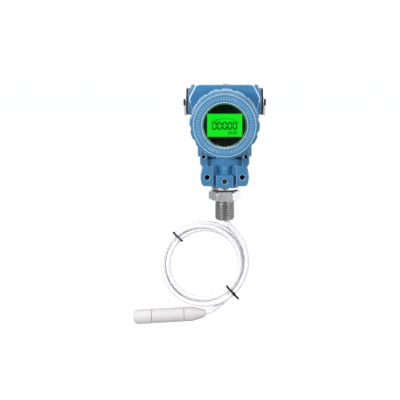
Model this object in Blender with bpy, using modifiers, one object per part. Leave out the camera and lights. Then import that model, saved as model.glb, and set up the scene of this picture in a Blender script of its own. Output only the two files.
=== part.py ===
"""Submersible level transmitter.

A die-cast display head turns on a threaded steel process fitting. A white PTFE cable
leaves the fitting's lower end, lies in a tied coil and carries a PTFE level probe.
+Z is up, the display faces -Y, and the origin is on the thread's axis at the
hexagon's lower face. Lengths are in metres.
"""
import math

import bmesh
import bpy
from mathutils import Matrix, Vector

# Gaps and roundness
GAP = 0.0003
THREAD_GAP = 0.0003
LARGE_STEPS = 40
MEDIUM_STEPS = 32
SMALL_STEPS = 16
STEM_STEPS = 24
COLUMN_STEPS = 36
PROBE_STEPS = 24
CORNER_STEPS = 4

# How far a cutter runs past the face it opens
CUT_OVER = 0.001
MERGE_DISTANCE = 0.00001

# The bevelled ears meet the flared stem at grazing angles, which EXACT leaves open.
CASTING_SOLVER = "MANIFOLD"

# Process fitting: hexagon, male thread and spigot, turned from one bar
HEX_FLATS = 0.030
HEX_HEIGHT = 0.0104
HEX_CHAMFER = 0.0010
HEX_TURN = math.radians(1.5)
HEX_CHAMFER_ANGLE = math.radians(30.0)
THREAD_DIA = 0.02096
THREAD_LENGTH = 0.0217
THREAD_CHAMFER = 0.0018
RELIEF_DEPTH = 0.0013
RELIEF_WIDTH = 0.0024
SPIGOT_DIA = 0.024
SPIGOT_ENGAGED = 0.0122
FITTING_BORE_DIA = 0.0092
NECK_SEAL_DIA = 0.0260
NECK_SEAL_THICKNESS = 0.0010
NECK_SEAL_WALL = 0.0016
LOCK_RING_DIA = 0.0286
LOCK_RING_HEIGHT = 0.0023

# Housing, heights counted from the collar's lower face
AXIS_HEIGHT = 0.0709
BARREL_DIA = 0.0690
BARREL_HALF = 0.0260
THREAD_STEP = 0.0028
COVER_THREAD_DIA = BARREL_DIA - 2 * THREAD_STEP
FRONT_SPIGOT = 0.0140
REAR_SPIGOT = 0.0120
CHAMBER_WALL = 0.0037
CHAMBER_DIA = COVER_THREAD_DIA - 2 * CHAMBER_WALL
PARTITION_FRONT = 0.0160
PARTITION_THICKNESS = 0.0040
PARTITION_HOLE_DIA = 0.0080
PARTITION_HOLE_DROP = 0.0200
TOP_RISE = 0.0394
TOP_FALL = 0.0030
ENTRY_HALF_SPAN = 0.0385
ENTRY_PROUD = 0.0013
SHOULDER_HALF_WIDTH = ENTRY_HALF_SPAN - ENTRY_PROUD
TOP_LEAN = 0.0024
TOP_HALF_WIDTH = SHOULDER_HALF_WIDTH - TOP_LEAN
TOP_FACET = 0.0051
TOP_FACE_HALF_WIDTH = TOP_HALF_WIDTH - TOP_FACET
TOP_FRONT = 0.0220
TOP_CORNER = 0.0080
TOP_ROOT_INSET = 0.0035
TOP_ROOT_HALF_WIDTH = BARREL_DIA / 2 - TOP_ROOT_INSET
CASTING_EDGE = 0.0006
SHOULDER_RISE = 0.0246
ENTRY_RISE = 0.0203
ENTRY_BOSS_DIA = 0.0286
ENTRY_BORE_DIA = 0.0192
ENTRY_BORE_DEPTH = 0.0230
SKIRT_HALF_WIDTH = 0.0285
SKIRT_HALF_DEPTH = 0.0150
SKIRT_BOTTOM = 0.0338
SKIRT_HEIGHT = 0.0260
SKIRT_EDGE = 0.0016
COLLAR_DIA = 0.0316
COLLAR_HEIGHT = 0.0150
COLLAR_EDGE = 0.0009
COLUMN_DIA = 0.0210
COLUMN_SHORT = 0.0010
STEM_START = 0.0090
STEM_HALF_WIDTH = 0.0068
STEM_HALF_DEPTH = 0.0150
STEM_TOP_HALF_WIDTH = 0.0165
STEM_FLARE_START = 0.0195
STEM_FLARE_END = 0.0255
FLARE_STEPS = 4
STEM_FLARE_TAPER = 0.0012
STEM_TOP_DROP = 0.0020
STEM_TOP_TAPER = 0.0020
STEM_ROOT_TAPER = 0.0028
STEM_ROOT_OVERLAPS = (0.0010, 0.0040)
BAR_HALF_WIDTH = 0.0195
BAR_HALF_DEPTH = 0.0128
BAR_BOTTOM = 0.0238
BAR_HEIGHT = 0.0080
BAR_EDGE = 0.0024
LOWER_EAR_INNER = 0.0120
LOWER_EAR_OUTER = 0.0258
LOWER_EAR_BOTTOM = 0.0023
LOWER_EAR_TOP = 0.0243
LOWER_EAR_HALF_DEPTH = 0.0170
LOWER_EAR_CORNER = 0.0045
LOWER_EAR_LEAN = 0.0008
LOWER_EAR_TOP_LEAN = 0.0040
LOWER_EAR_BULGE = 0.0100
EAR_EDGE = 0.0007
WEB_REACH = 0.0040
WEB_SLOPE = 0.0075
WEB_INSET = 0.0008
WEB_OVERLAP = 0.0020
WEB_STEP = 0.0011
WEB_END = 0.0080
LOWER_EAR_HOLE_X = 0.0186
LOWER_EAR_HOLE_HEIGHT = 0.0120
BRACKET_HOLE_DIA = 0.0054
BRACKET_HOLE_DEPTH = 0.0110
BRACKET_HOLE_CHAMFER = 0.0004
DRILL_POINT = 0.6
UPPER_EAR_INNER = 0.0183
UPPER_EAR_OUTER = 0.0261
UPPER_EAR_BOTTOM = 0.0231
UPPER_EAR_HALF_DEPTH = 0.0175
UPPER_EAR_ROUND = 0.0046
UPPER_EAR_OVERLAP = 0.0100
UPPER_EAR_HOLE_X = 0.0221
UPPER_EAR_HOLE_HEIGHT = 0.0342
UPPER_EAR_HOLE_DIA = 0.0038
UPPER_EAR_HOLE_DEPTH = 0.0080
BLOCK_HALF_WIDTH = 0.0092
BLOCK_BOTTOM = 0.0011
BLOCK_TOP = 0.0143
BLOCK_FRONT = 0.0180
BLOCK_BACK = 0.0045
BLOCK_EDGE = 0.0008
SET_SCREW_HEIGHT = 0.0076
SET_SCREW_DIA = 0.0046
SET_SCREW_LENGTH = 0.0042
SET_SCREW_SOCKET_FLATS = 0.0022
SET_SCREW_SOCKET_DEPTH = 0.0018
NECK_BORE_DIA = 0.0100
NECK_BORE_OVER = 0.0030
SCREW_EDGE = 0.0004

# Covers
FLANGE_PROUD = 0.0017
FLANGE_DIA = BARREL_DIA + 2 * FLANGE_PROUD
FLANGE_LENGTH = 0.0165
FLANGE_CHAMFER = 0.0012
FLANGE_LAND = 0.0019
FLANGE_ROUND = 0.0005
COVER_RUNOUT = 0.0010
FRONT_LENGTH = 0.0310
RING_STEP = 0.0038
RING_DIA = FLANGE_DIA - 2 * RING_STEP
RING_EDGE = 0.0012
RING_DRAFT = 0.0010
RING_FILLET = 0.0020
GLASS_CLEAR = 0.0010
GLASS_DIA = CHAMBER_DIA - 2 * GLASS_CLEAR
WINDOW_LIP = 0.0055
WINDOW_DIA = GLASS_DIA - 2 * WINDOW_LIP
WINDOW_BEVEL = 0.0018
WINDOW_BEVEL_DEPTH = 0.0023
FRONT_WALL = 0.0043
REAR_LENGTH = 0.0205
REAR_WALL = 0.0040
REAR_RING_STEP = 0.0082
REAR_RING_DIA = FLANGE_DIA - 2 * REAR_RING_STEP
REAR_DISH = 0.0050
REAR_CAVITY_DRAFT = 0.0015
GRIP_NOTCHES = 16
GRIP_DEPTH = 0.0012
GRIP_RADIUS = 0.0040
GRIP_FIRST = math.radians(7.0)
SEAL_CORD_DIA = 0.0024
GLASS_THICKNESS = 0.0047
GLASS_EDGE = 0.0004
RETAINER_HEIGHT = 0.0032
RETAINER_WALL = 0.0048
RETAINER_EDGE = 0.0008

# Cable-entry plugs
PLUG_DIA = 0.0295
PLUG_THICKNESS = 0.0028
PLUG_RIM = 0.0012
PLUG_ROUND = 0.0004
PLUG_TIP_CHAMFER = 0.0010
PLUG_SHANK_LENGTH = 0.0120
PLUG_SLOT_WIDTH = 0.0070
PLUG_SLOT_DEPTH = 0.0021
PLUG_BAR_PROUD = 0.0004
PLUG_BAR_EDGE = 0.0006
GASKET_DIA = 0.0284
GASKET_THICKNESS = 0.0011

# Display and electronics
MODULE_CLEAR = 0.0006
MODULE_DIA = CHAMBER_DIA - 2 * MODULE_CLEAR
MODULE_LENGTH = 0.0075
DISPLAY_CLEAR = 0.0017
DISPLAY_DIA = CHAMBER_DIA - 2 * DISPLAY_CLEAR
BOARD_THICKNESS = 0.0016
BEZEL_WALL = 0.0015
BEZEL_FACE = 0.0020
BEZEL_CLEAR = 0.0012
SCREEN_WIDTH = 0.0352
SCREEN_HEIGHT = 0.0232
SCREEN_DROP = 0.0008
LCD_MARGIN = 0.0016
LCD_THICKNESS = 0.0030
LCD_EDGE = 0.0003
MOULDED_EDGE = 0.0006
TERMINAL_WIDTH = 0.0400
TERMINAL_HEIGHT = 0.0160
TERMINAL_DEPTH = 0.0130
TERMINAL_STEP = 0.0050
TERMINAL_COUNT = 3
TERMINAL_PITCH = 0.0120
TERMINAL_SCREW_DIA = 0.0062
TERMINAL_SCREW_HEAD = 0.0024
TERMINAL_SCREW_SINK = 0.0010
TERMINAL_SHANK_DIA = 0.0034
TERMINAL_SHANK_LENGTH = 0.0060
TERMINAL_SLOT = 0.0009

# Cable, coil and ties
CABLE_DIA = 0.0052
CABLE_SIDES_RESOLUTION = 2
CABLE_BUSH_LENGTH = 0.0075
CABLE_START_DEPTH = 0.0050
COIL_CENTRE_X = -0.0217
COIL_CENTRE_Z = -0.0708
COIL_OUTER = 0.0478
COIL_INNER = 0.0352
COIL_HALF_DEPTH = 0.0054
COIL_ROUND = 0.0024
TIE_WIRE_DIA = 0.0012
TIE_STEPS = 20
TIE_UPPER_ANGLE = math.radians(134.5)
TIE_LOWER_ANGLE = math.radians(-47.0)
TIE_CLEAR = 0.0005
TIE_SQUARENESS = 5
LEAD_ROUTE = (
    (0.0000, 0.0, -0.0228),
    (0.0002, 0.0, -0.0240),
    (0.0010, 0.0, -0.0253),
    (0.0022, 0.0, -0.0263),
)
TAIL_ROUTE = (
    (-0.00733, 0.0, -0.11932),
    (-0.0112, 0.0, -0.1226),
    (-0.0158, 0.0, -0.1254),
)

# Probe
PROBE_DIA = 0.0160
PROBE_TILT = math.radians(3.2)
PROBE_NOSE_X = -0.0214
PROBE_NOSE_Z = -0.1270
NOSE_TIP_DIA = 0.0074
NOSE_TAPER = 0.0135
NOSE_COLLAR = 0.0093
NOSE_BULGE = 0.0021
NOSE_SOCKET_DEPTH = 0.0060
BODY_LENGTH = 0.0355
CAP_LENGTH = 0.0200
CAP_EXTRA_DIA = 0.0003
PROBE_SPIGOT_DIA = 0.0110
PROBE_SPIGOT_LENGTH = 0.0050
PROBE_EDGE = 0.0005
DOME_STEPS = 5
DOME_HEIGHT = 0.0056
DOME_INSET = 0.0034

# Places that follow from the sizes
NECK_SEAL_Z = HEX_HEIGHT + GAP
LOCK_RING_Z = NECK_SEAL_Z + NECK_SEAL_THICKNESS + GAP
COLLAR_Z = LOCK_RING_Z + LOCK_RING_HEIGHT + GAP
SEAL_RADIUS = SEAL_CORD_DIA / 2
SEAL_RING_RADIUS = COVER_THREAD_DIA / 2 + GAP + SEAL_RADIUS
SEAL_POCKET_RADIUS = SEAL_RING_RADIUS + SEAL_RADIUS + GAP
SEAL_POCKET_DEPTH = SEAL_CORD_DIA + GAP
GLASS_FRONT = BARREL_HALF + FRONT_LENGTH - FRONT_WALL - GAP
RETAINER_FRONT = GLASS_FRONT - GLASS_THICKNESS - GAP
BEZEL_FRONT = RETAINER_FRONT - RETAINER_HEIGHT - BEZEL_CLEAR
SCREEN_FACE = BEZEL_FRONT - BEZEL_FACE


def clear_scene():
    """Remove every object of the startup scene."""
    for item in list(bpy.data.objects):
        bpy.data.objects.remove(item)


def new_collection(name):
    """Make a collection under the scene's own."""
    group = bpy.data.collections.new(name)
    bpy.context.scene.collection.children.link(group)
    return group


def new_material(name, colour, roughness, metallic=0.0, alpha=1.0):
    """Make a Principled material."""
    material = bpy.data.materials.new(name)
    material.use_nodes = True
    shader = material.node_tree.nodes["Principled BSDF"]
    shader.inputs["Base Color"].default_value = (*colour, 1.0)
    shader.inputs["Roughness"].default_value = roughness
    shader.inputs["Metallic"].default_value = metallic
    shader.inputs["Alpha"].default_value = alpha
    return material


def new_axis(name, location, parent=None):
    """Make an empty that carries the pieces of one axis."""
    empty = bpy.data.objects.new(name, None)
    empty.location = location
    empty.parent = parent
    PIECES.objects.link(empty)
    return empty


def place(piece, parent, location=(0, 0, 0), rotation=(0, 0, 0)):
    """Hang a piece on its axis, with a place and a turn relative to it."""
    piece.parent = parent
    piece.location = location
    piece.rotation_euler = rotation
    return piece


def finish_piece(piece, material=None):
    """Link a solid into the model, or into the guides when it has no material."""
    if material is None:
        GUIDES.objects.link(piece)
        piece.hide_render = True
        piece.display_type = "WIRE"
    else:
        PIECES.objects.link(piece)
        piece.data.materials.append(material)
    return piece


def turned(name, outline, material=None, steps=LARGE_STEPS, closed=False):
    """Turn an outline of (radius, height) points round the local Z axis.

    The outline runs down the outer side. It starts and ends on the axis, or it is
    closed and makes a ring.
    """
    mesh = bpy.data.meshes.new(name)
    points = [(radius, 0.0, height) for radius, height in outline]
    edges = [(i, i + 1) for i in range(len(points) - 1)]
    if closed:
        edges.append((len(points) - 1, 0))
    mesh.from_pydata(points, edges, [])
    piece = bpy.data.objects.new(name, mesh)
    screw = piece.modifiers.new("turn", "SCREW")
    screw.axis = "Z"
    screw.angle = math.tau
    screw.steps = steps
    screw.render_steps = steps
    screw.use_merge_vertices = True
    screw.merge_threshold = MERGE_DISTANCE
    screw.use_smooth_shade = True
    return finish_piece(piece, material)


def from_bmesh(name, shape, material=None):
    """Make an object of a bmesh, with its faces pointing out."""
    bmesh.ops.recalc_face_normals(shape, faces=shape.faces)
    mesh = bpy.data.meshes.new(name)
    shape.to_mesh(mesh)
    shape.free()
    return finish_piece(bpy.data.objects.new(name, mesh), material)


def block(name, low, high, material=None, bevel=0.0, segments=2):
    """Make a box between two corners, with its edges rounded."""
    shape = bmesh.new()
    size = Vector(high) - Vector(low)
    centre = (Vector(high) + Vector(low)) / 2
    place_box = Matrix.Translation(centre) @ Matrix.Diagonal((*size, 1.0))
    bmesh.ops.create_cube(shape, size=1.0, matrix=place_box)
    piece = from_bmesh(name, shape, material)
    if bevel > 0.0:
        add_bevel(piece, bevel, segments)
    return piece


def add_bevel(piece, width, segments=2, angle=35.0):
    """Round the sharp edges of a piece."""
    bevel = piece.modifiers.new("edges", "BEVEL")
    bevel.width = width
    bevel.segments = segments
    bevel.limit_method = "ANGLE"
    bevel.angle_limit = math.radians(angle)
    return bevel


def prism(name, outline, half_depth, material=None, bevel=0.0):
    """Extrude an outline of (x, z) points to both sides of the plane y = 0."""
    shape = bmesh.new()
    corners = [shape.verts.new((x, -half_depth, z)) for x, z in outline]
    front = shape.faces.new(corners)
    grown = bmesh.ops.extrude_face_region(shape, geom=[front])
    moved = [item for item in grown["geom"] if isinstance(item, bmesh.types.BMVert)]
    bmesh.ops.translate(shape, verts=moved, vec=(0.0, 2 * half_depth, 0.0))
    piece = from_bmesh(name, shape, material)
    if bevel > 0.0:
        add_bevel(piece, bevel, 1)
    return piece


def rod(name, radius, start, end, material=None, steps=SMALL_STEPS, sides_turn=0.0):
    """Make a straight cylinder between two points."""
    shape = bmesh.new()
    along = Vector(end) - Vector(start)
    middle = (Vector(end) + Vector(start)) / 2
    turn = along.to_track_quat("Z", "Y").to_matrix().to_4x4()
    spin = Matrix.Rotation(sides_turn, 4, "Z")
    bmesh.ops.create_cone(
        shape,
        cap_ends=True,
        segments=steps,
        radius1=radius,
        radius2=radius,
        depth=along.length,
        matrix=Matrix.Translation(middle) @ turn @ spin,
    )
    return from_bmesh(name, shape, material)


def hull(name, points, material=None):
    """Make the convex solid that spans the points."""
    shape = bmesh.new()
    for point in points:
        shape.verts.new(point)
    bmesh.ops.convex_hull(shape, input=shape.verts)
    bmesh.ops.dissolve_limit(
        shape, angle_limit=0.01, verts=shape.verts, edges=shape.edges
    )
    return from_bmesh(name, shape, material)


def lofted(name, sections, material=None, steps=MEDIUM_STEPS):
    """Loft ellipses of (height, half width, half depth) along Z."""
    shape = bmesh.new()
    rings = []
    for height, half_width, half_depth in sections:
        ring = []
        for i in range(steps):
            angle = math.tau * (i + 0.5) / steps
            x = half_width * math.cos(angle)
            y = half_depth * math.sin(angle)
            ring.append(shape.verts.new((x, y, height)))
        rings.append(ring)
    for lower, upper in zip(rings, rings[1:]):
        for i in range(steps):
            j = (i + 1) % steps
            shape.faces.new((lower[i], lower[j], upper[j], upper[i]))
    shape.faces.new(rings[0])
    shape.faces.new(rings[-1])
    bmesh.ops.triangulate(shape, faces=shape.faces)
    return from_bmesh(name, shape, material)


def combine(piece, tool, operation, solver="EXACT"):
    """Join, cut or intersect a piece with another closed shape."""
    step = piece.modifiers.new(operation.lower(), "BOOLEAN")
    step.operation = operation
    step.solver = solver
    step.object = tool
    return step


def arc(centre_x, centre_z, radius, start, end, count):
    """Give points of an arc, from one angle in degrees to another."""
    points = []
    for i in range(count + 1):
        angle = math.radians(start + (end - start) * i / count)
        x = centre_x + radius * math.cos(angle)
        z = centre_z + radius * math.sin(angle)
        points.append((x, z))
    return points


def catmull_rom(points, step):
    """Read a smooth curve through the route's points, about one step apart."""
    route = [Vector(point) for point in points]
    ends = [2 * route[0] - route[1]] + route + [2 * route[-1] - route[-2]]
    result = []
    for a, b, c, d in zip(ends, ends[1:], ends[2:], ends[3:]):
        count = max(1, round((c - b).length / step))
        for i in range(count):
            t = i / count
            bend = (2 * a - 5 * b + 4 * c - d) * t * t
            twist = (3 * b - a - 3 * c + d) * t * t * t
            result.append((2 * b + (c - a) * t + bend + twist) / 2)
    result.append(route[-1])
    return result


def tube(name, points, diameter, material, cyclic=False):
    """Make a round wire or cable along the points."""
    curve = bpy.data.curves.new(name, "CURVE")
    curve.dimensions = "3D"
    curve.bevel_depth = diameter / 2
    curve.bevel_resolution = CABLE_SIDES_RESOLUTION
    curve.use_fill_caps = True
    spline = curve.splines.new("POLY")
    spline.points.add(len(points) - 1)
    for slot, point in zip(spline.points, points):
        slot.co = (*point, 1.0)
    spline.use_cyclic_u = cyclic
    return finish_piece(bpy.data.objects.new(name, curve), material)


def mirrored(points):
    """Give (x, z) points on the other side of x = 0."""
    return [(-x, z) for x, z in points]


def build_fitting():
    """Hexagon, thread relief, male thread and spigot in one turned bar."""
    hex_radius = HEX_FLATS / 2 / math.cos(math.pi / 6)
    face_radius = HEX_FLATS / 2 - HEX_CHAMFER / 2
    thread = THREAD_DIA / 2
    relief = thread - RELIEF_DEPTH
    bore = FITTING_BORE_DIA / 2
    neck = NECK_SEAL_DIA / 2 - NECK_SEAL_WALL - GAP
    spigot = SPIGOT_DIA / 2
    top = COLLAR_Z + SPIGOT_ENGAGED
    seal_top = NECK_SEAL_Z + NECK_SEAL_THICKNESS
    core = face_radius - HEX_CHAMFER
    outline = [
        (bore, top),
        (spigot - HEX_CHAMFER, top),
        (spigot, top - HEX_CHAMFER),
        (spigot, seal_top + GAP),
        (neck, seal_top + GAP),
        (neck, HEX_HEIGHT),
        (core, HEX_HEIGHT),
        (core, 0.0),
        (relief, 0.0),
        (relief, -RELIEF_WIDTH),
        (thread - RELIEF_DEPTH / 2, -RELIEF_WIDTH),
        (thread, -RELIEF_WIDTH - RELIEF_DEPTH / 2),
        (thread, THREAD_CHAMFER - THREAD_LENGTH),
        (thread - THREAD_CHAMFER, -THREAD_LENGTH),
        (bore, -THREAD_LENGTH),
    ]
    fitting = turned("process_fitting", outline, STEEL, closed=True, steps=MEDIUM_STEPS)

    shape = bmesh.new()
    bmesh.ops.create_cone(
        shape,
        cap_ends=True,
        segments=6,
        radius1=hex_radius,
        radius2=hex_radius,
        depth=HEX_HEIGHT,
        matrix=Matrix.Translation((0, 0, HEX_HEIGHT / 2)) @ Matrix.Rotation(HEX_TURN, 4, "Z"),
    )
    hexagon = from_bmesh("hexagon_form", shape)
    drop = (hex_radius - face_radius) * math.tan(HEX_CHAMFER_ANGLE)
    cone = [
        (bore + GAP, HEX_HEIGHT),
        (face_radius, HEX_HEIGHT),
        (hex_radius + GAP, HEX_HEIGHT - drop),
        (hex_radius + GAP, drop),
        (face_radius, 0.0),
        (bore + GAP, 0.0),
    ]
    chamfer = turned("hexagon_chamfer", cone, closed=True)
    combine(hexagon, chamfer, "INTERSECT")
    combine(fitting, hexagon, "UNION")

    ring = LOCK_RING_DIA / 2
    edge = HEX_CHAMFER / 2
    ring_bore = spigot + GAP
    ring_top = LOCK_RING_Z + LOCK_RING_HEIGHT
    outline = [
        (ring_bore, ring_top),
        (ring - edge, ring_top),
        (ring, ring_top - edge),
        (ring, LOCK_RING_Z + edge),
        (ring - edge, LOCK_RING_Z),
        (ring_bore, LOCK_RING_Z),
    ]
    turned("lock_ring", outline, STEEL, steps=MEDIUM_STEPS, closed=True)

    seal = NECK_SEAL_DIA / 2
    outline = [
        (seal - NECK_SEAL_WALL, seal_top),
        (seal, seal_top),
        (seal, NECK_SEAL_Z),
        (seal - NECK_SEAL_WALL, NECK_SEAL_Z),
    ]
    turned("neck_seal", outline, RUBBER, steps=MEDIUM_STEPS, closed=True)

    cable = CABLE_DIA / 2 + GAP
    bush = bore - GAP
    bush_top = CABLE_BUSH_LENGTH - THREAD_LENGTH
    outline = [
        (cable, bush_top),
        (bush, bush_top),
        (bush, -THREAD_LENGTH - GAP),
        (cable, -THREAD_LENGTH - GAP),
    ]
    turned("cable_bush", outline, PTFE, steps=SMALL_STEPS, closed=True)


def add_top_block(housing):
    """Join the wedge-sided top block and the cable-entry bosses to the barrel."""
    top = AXIS_HEIGHT + TOP_RISE
    shoulder = AXIS_HEIGHT + SHOULDER_RISE
    points = []
    for x_sign in (-1, 1):
        for y_sign in (-1, 1):
            front = y_sign * TOP_FRONT
            corner = y_sign * (TOP_FRONT - TOP_CORNER)
            level = top if y_sign < 0 else top - TOP_FALL
            points.append((x_sign * TOP_FACE_HALF_WIDTH, front, level))
            points.append((x_sign * TOP_HALF_WIDTH, corner, level))
            points.append((x_sign * SHOULDER_HALF_WIDTH, front, shoulder))
            points.append((x_sign * TOP_ROOT_HALF_WIDTH, front, AXIS_HEIGHT))
    crown = hull("crown_form", points)
    place(crown, HEAD_AXIS)
    combine(housing, crown, "UNION")

    height = AXIS_HEIGHT + ENTRY_RISE
    radius = ENTRY_BOSS_DIA / 2
    edge = CASTING_EDGE
    outline = [
        (0.0, ENTRY_HALF_SPAN),
        (radius - edge, ENTRY_HALF_SPAN),
        (radius, ENTRY_HALF_SPAN - edge),
        (radius, edge - ENTRY_HALF_SPAN),
        (radius - edge, -ENTRY_HALF_SPAN),
        (0.0, -ENTRY_HALF_SPAN),
    ]
    boss = turned("entry_boss_form", outline, steps=MEDIUM_STEPS)
    place(boss, HEAD_AXIS, (0, 0, height), (0, math.radians(90), 0))
    combine(housing, boss, "UNION")


def add_neck(housing):
    """Join the skirt, the ears, the bar, the flared stem and the collar."""
    skirt = block(
        "skirt_form",
        (-SKIRT_HALF_WIDTH, -SKIRT_HALF_DEPTH, SKIRT_BOTTOM),
        (SKIRT_HALF_WIDTH, SKIRT_HALF_DEPTH, SKIRT_BOTTOM + SKIRT_HEIGHT),
        bevel=SKIRT_EDGE,
    )
    bar = block(
        "bar_form",
        (-BAR_HALF_WIDTH, -BAR_HALF_DEPTH, BAR_BOTTOM),
        (BAR_HALF_WIDTH, BAR_HALF_DEPTH, BAR_BOTTOM + BAR_HEIGHT),
        bevel=BAR_EDGE,
    )
    column = rod(
        "column_form",
        COLUMN_DIA / 2,
        (0, 0, COLLAR_HEIGHT / 2),
        (0, 0, AXIS_HEIGHT - CHAMBER_DIA / 2 - COLUMN_SHORT),
        steps=COLUMN_STEPS,
    )
    sections = [(STEM_START, STEM_HALF_WIDTH, STEM_HALF_DEPTH)]
    flare = STEM_TOP_HALF_WIDTH - STEM_HALF_WIDTH
    for i in range(FLARE_STEPS + 1):
        share = i / FLARE_STEPS
        height = STEM_FLARE_START + (STEM_FLARE_END - STEM_FLARE_START) * math.sin(share * math.pi / 2)
        width = STEM_HALF_WIDTH + flare * (1 - math.cos(share * math.pi / 2))
        sections.append((height, width, STEM_HALF_DEPTH - STEM_FLARE_TAPER * share))
    stem_top = BAR_BOTTOM + BAR_HEIGHT - STEM_TOP_DROP
    sections.append((stem_top, STEM_TOP_HALF_WIDTH, STEM_HALF_DEPTH - STEM_TOP_TAPER))
    for overlap in STEM_ROOT_OVERLAPS:
        sections.append((SKIRT_BOTTOM + overlap, STEM_HALF_WIDTH, STEM_HALF_DEPTH - STEM_ROOT_TAPER))
    stem = lofted("stem_form", sections, steps=STEM_STEPS)
    for form in (skirt, bar, column, stem):
        place(form, HEAD_AXIS)
        combine(housing, form, "UNION")

    radius = COLLAR_DIA / 2
    edge = COLLAR_EDGE
    outline = [
        (0.0, COLLAR_HEIGHT),
        (radius - 2 * edge, COLLAR_HEIGHT),
        (radius, COLLAR_HEIGHT - 2 * edge),
        (radius, edge),
        (radius - edge, 0.0),
        (0.0, 0.0),
    ]
    collar = place(turned("collar_form", outline), HEAD_AXIS)
    combine(housing, collar, "UNION")


def add_ears(housing):
    """Join the drilled bracket ears, the small upper ears and the screw block."""
    inner, outer = LOWER_EAR_INNER, LOWER_EAR_OUTER
    low, high = LOWER_EAR_BOTTOM, LOWER_EAR_TOP
    corner = LOWER_EAR_CORNER
    lean = LOWER_EAR_LEAN
    bulge = low + LOWER_EAR_BULGE
    lower_outline = [(inner, high), (inner, low)]
    lower_outline += arc(outer - corner - lean, low + corner, corner, -90, -12, CORNER_STEPS)
    lower_outline += [(outer, bulge), (outer - lean, bulge + corner), (outer - LOWER_EAR_TOP_LEAN, high)]
    root = inner - WEB_REACH
    web_depth = LOWER_EAR_HALF_DEPTH - WEB_SLOPE
    upper_low = UPPER_EAR_BOTTOM
    upper_round = UPPER_EAR_ROUND
    upper_high = SKIRT_BOTTOM + UPPER_EAR_OVERLAP
    upper_outline = [(UPPER_EAR_INNER, upper_high), (UPPER_EAR_INNER, upper_low)]
    upper_outline += arc(UPPER_EAR_OUTER - upper_round, upper_low + upper_round, upper_round, -90, 0, CORNER_STEPS)
    upper_outline += [(UPPER_EAR_OUTER, upper_high)]
    for side, flip in (("right", 1), ("left", -1)):
        points = lower_outline if flip > 0 else mirrored(lower_outline)
        ear = prism(f"lower_ear_{side}_form", points, LOWER_EAR_HALF_DEPTH, bevel=EAR_EDGE)
        web_points = []
        for y_sign in (-1, 1):
            for height in (low + WEB_INSET, high - WEB_INSET):
                web_points.append((flip * (inner + WEB_OVERLAP), y_sign * (LOWER_EAR_HALF_DEPTH - WEB_STEP), height))
                web_points.append((flip * root, y_sign * web_depth, height))
                web_points.append((flip * (outer - WEB_END), y_sign * web_depth, height))
        web = hull(f"ear_web_{side}_form", web_points)
        points = upper_outline if flip > 0 else mirrored(upper_outline)
        upper = prism(f"upper_ear_{side}_form", points, UPPER_EAR_HALF_DEPTH, bevel=EAR_EDGE)
        for form in (ear, web, upper):
            place(form, HEAD_AXIS)
            combine(housing, form, "UNION", CASTING_SOLVER)

    screw_block = block(
        "screw_block_form",
        (-BLOCK_HALF_WIDTH, -BLOCK_FRONT, BLOCK_BOTTOM),
        (BLOCK_HALF_WIDTH, -BLOCK_BACK, BLOCK_TOP),
        bevel=BLOCK_EDGE,
        segments=1,
    )
    place(screw_block, HEAD_AXIS)
    combine(housing, screw_block, "UNION", CASTING_SOLVER)


def cut_chambers(housing):
    """Cut the two round chambers, the cable entries and the bores of the neck."""
    radius = CHAMBER_DIA / 2
    front_end = BARREL_HALF + FRONT_SPIGOT + CUT_OVER
    rear_end = BARREL_HALF + REAR_SPIGOT + CUT_OVER
    partition_rear = PARTITION_FRONT - PARTITION_THICKNESS
    axis = AXIS_HEIGHT
    front = rod("front_chamber", radius, (0, -front_end, axis), (0, -PARTITION_FRONT, axis), steps=LARGE_STEPS)
    rear = rod("rear_chamber", radius, (0, rear_end, axis), (0, -partition_rear, axis), steps=LARGE_STEPS)
    hole_height = axis - PARTITION_HOLE_DROP
    wires = rod(
        "partition_hole",
        PARTITION_HOLE_DIA / 2,
        (0, -PARTITION_FRONT - CUT_OVER, hole_height),
        (0, -partition_rear + CUT_OVER, hole_height),
    )
    spigot_bore = rod(
        "spigot_bore",
        SPIGOT_DIA / 2 + GAP,
        (0, 0, -CUT_OVER),
        (0, 0, SPIGOT_ENGAGED + GAP),
        steps=LARGE_STEPS,
    )
    neck_bore = rod(
        "neck_bore",
        NECK_BORE_DIA / 2,
        (0, 0, SPIGOT_ENGAGED - CUT_OVER),
        (0, 0, axis - CHAMBER_DIA / 2 + NECK_BORE_OVER),
    )
    screw_hole = rod(
        "set_screw_hole",
        SET_SCREW_DIA / 2 + THREAD_GAP,
        (0, -BLOCK_FRONT - CUT_OVER, SET_SCREW_HEIGHT),
        (0, -SPIGOT_DIA / 2 + 2 * CUT_OVER, SET_SCREW_HEIGHT),
    )
    cutters = [front, rear, wires, spigot_bore, neck_bore, screw_hole]
    entry_height = axis + ENTRY_RISE
    for side, flip in (("right", 1), ("left", -1)):
        entry = rod(
            f"entry_bore_{side}",
            ENTRY_BORE_DIA / 2,
            (flip * (ENTRY_HALF_SPAN + CUT_OVER), 0, entry_height),
            (flip * (ENTRY_HALF_SPAN - ENTRY_BORE_DEPTH), 0, entry_height),
            steps=MEDIUM_STEPS,
        )
        cutters.append(entry)
    for cutter in cutters:
        place(cutter, HEAD_AXIS)
        combine(housing, cutter, "DIFFERENCE", CASTING_SOLVER)


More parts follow.
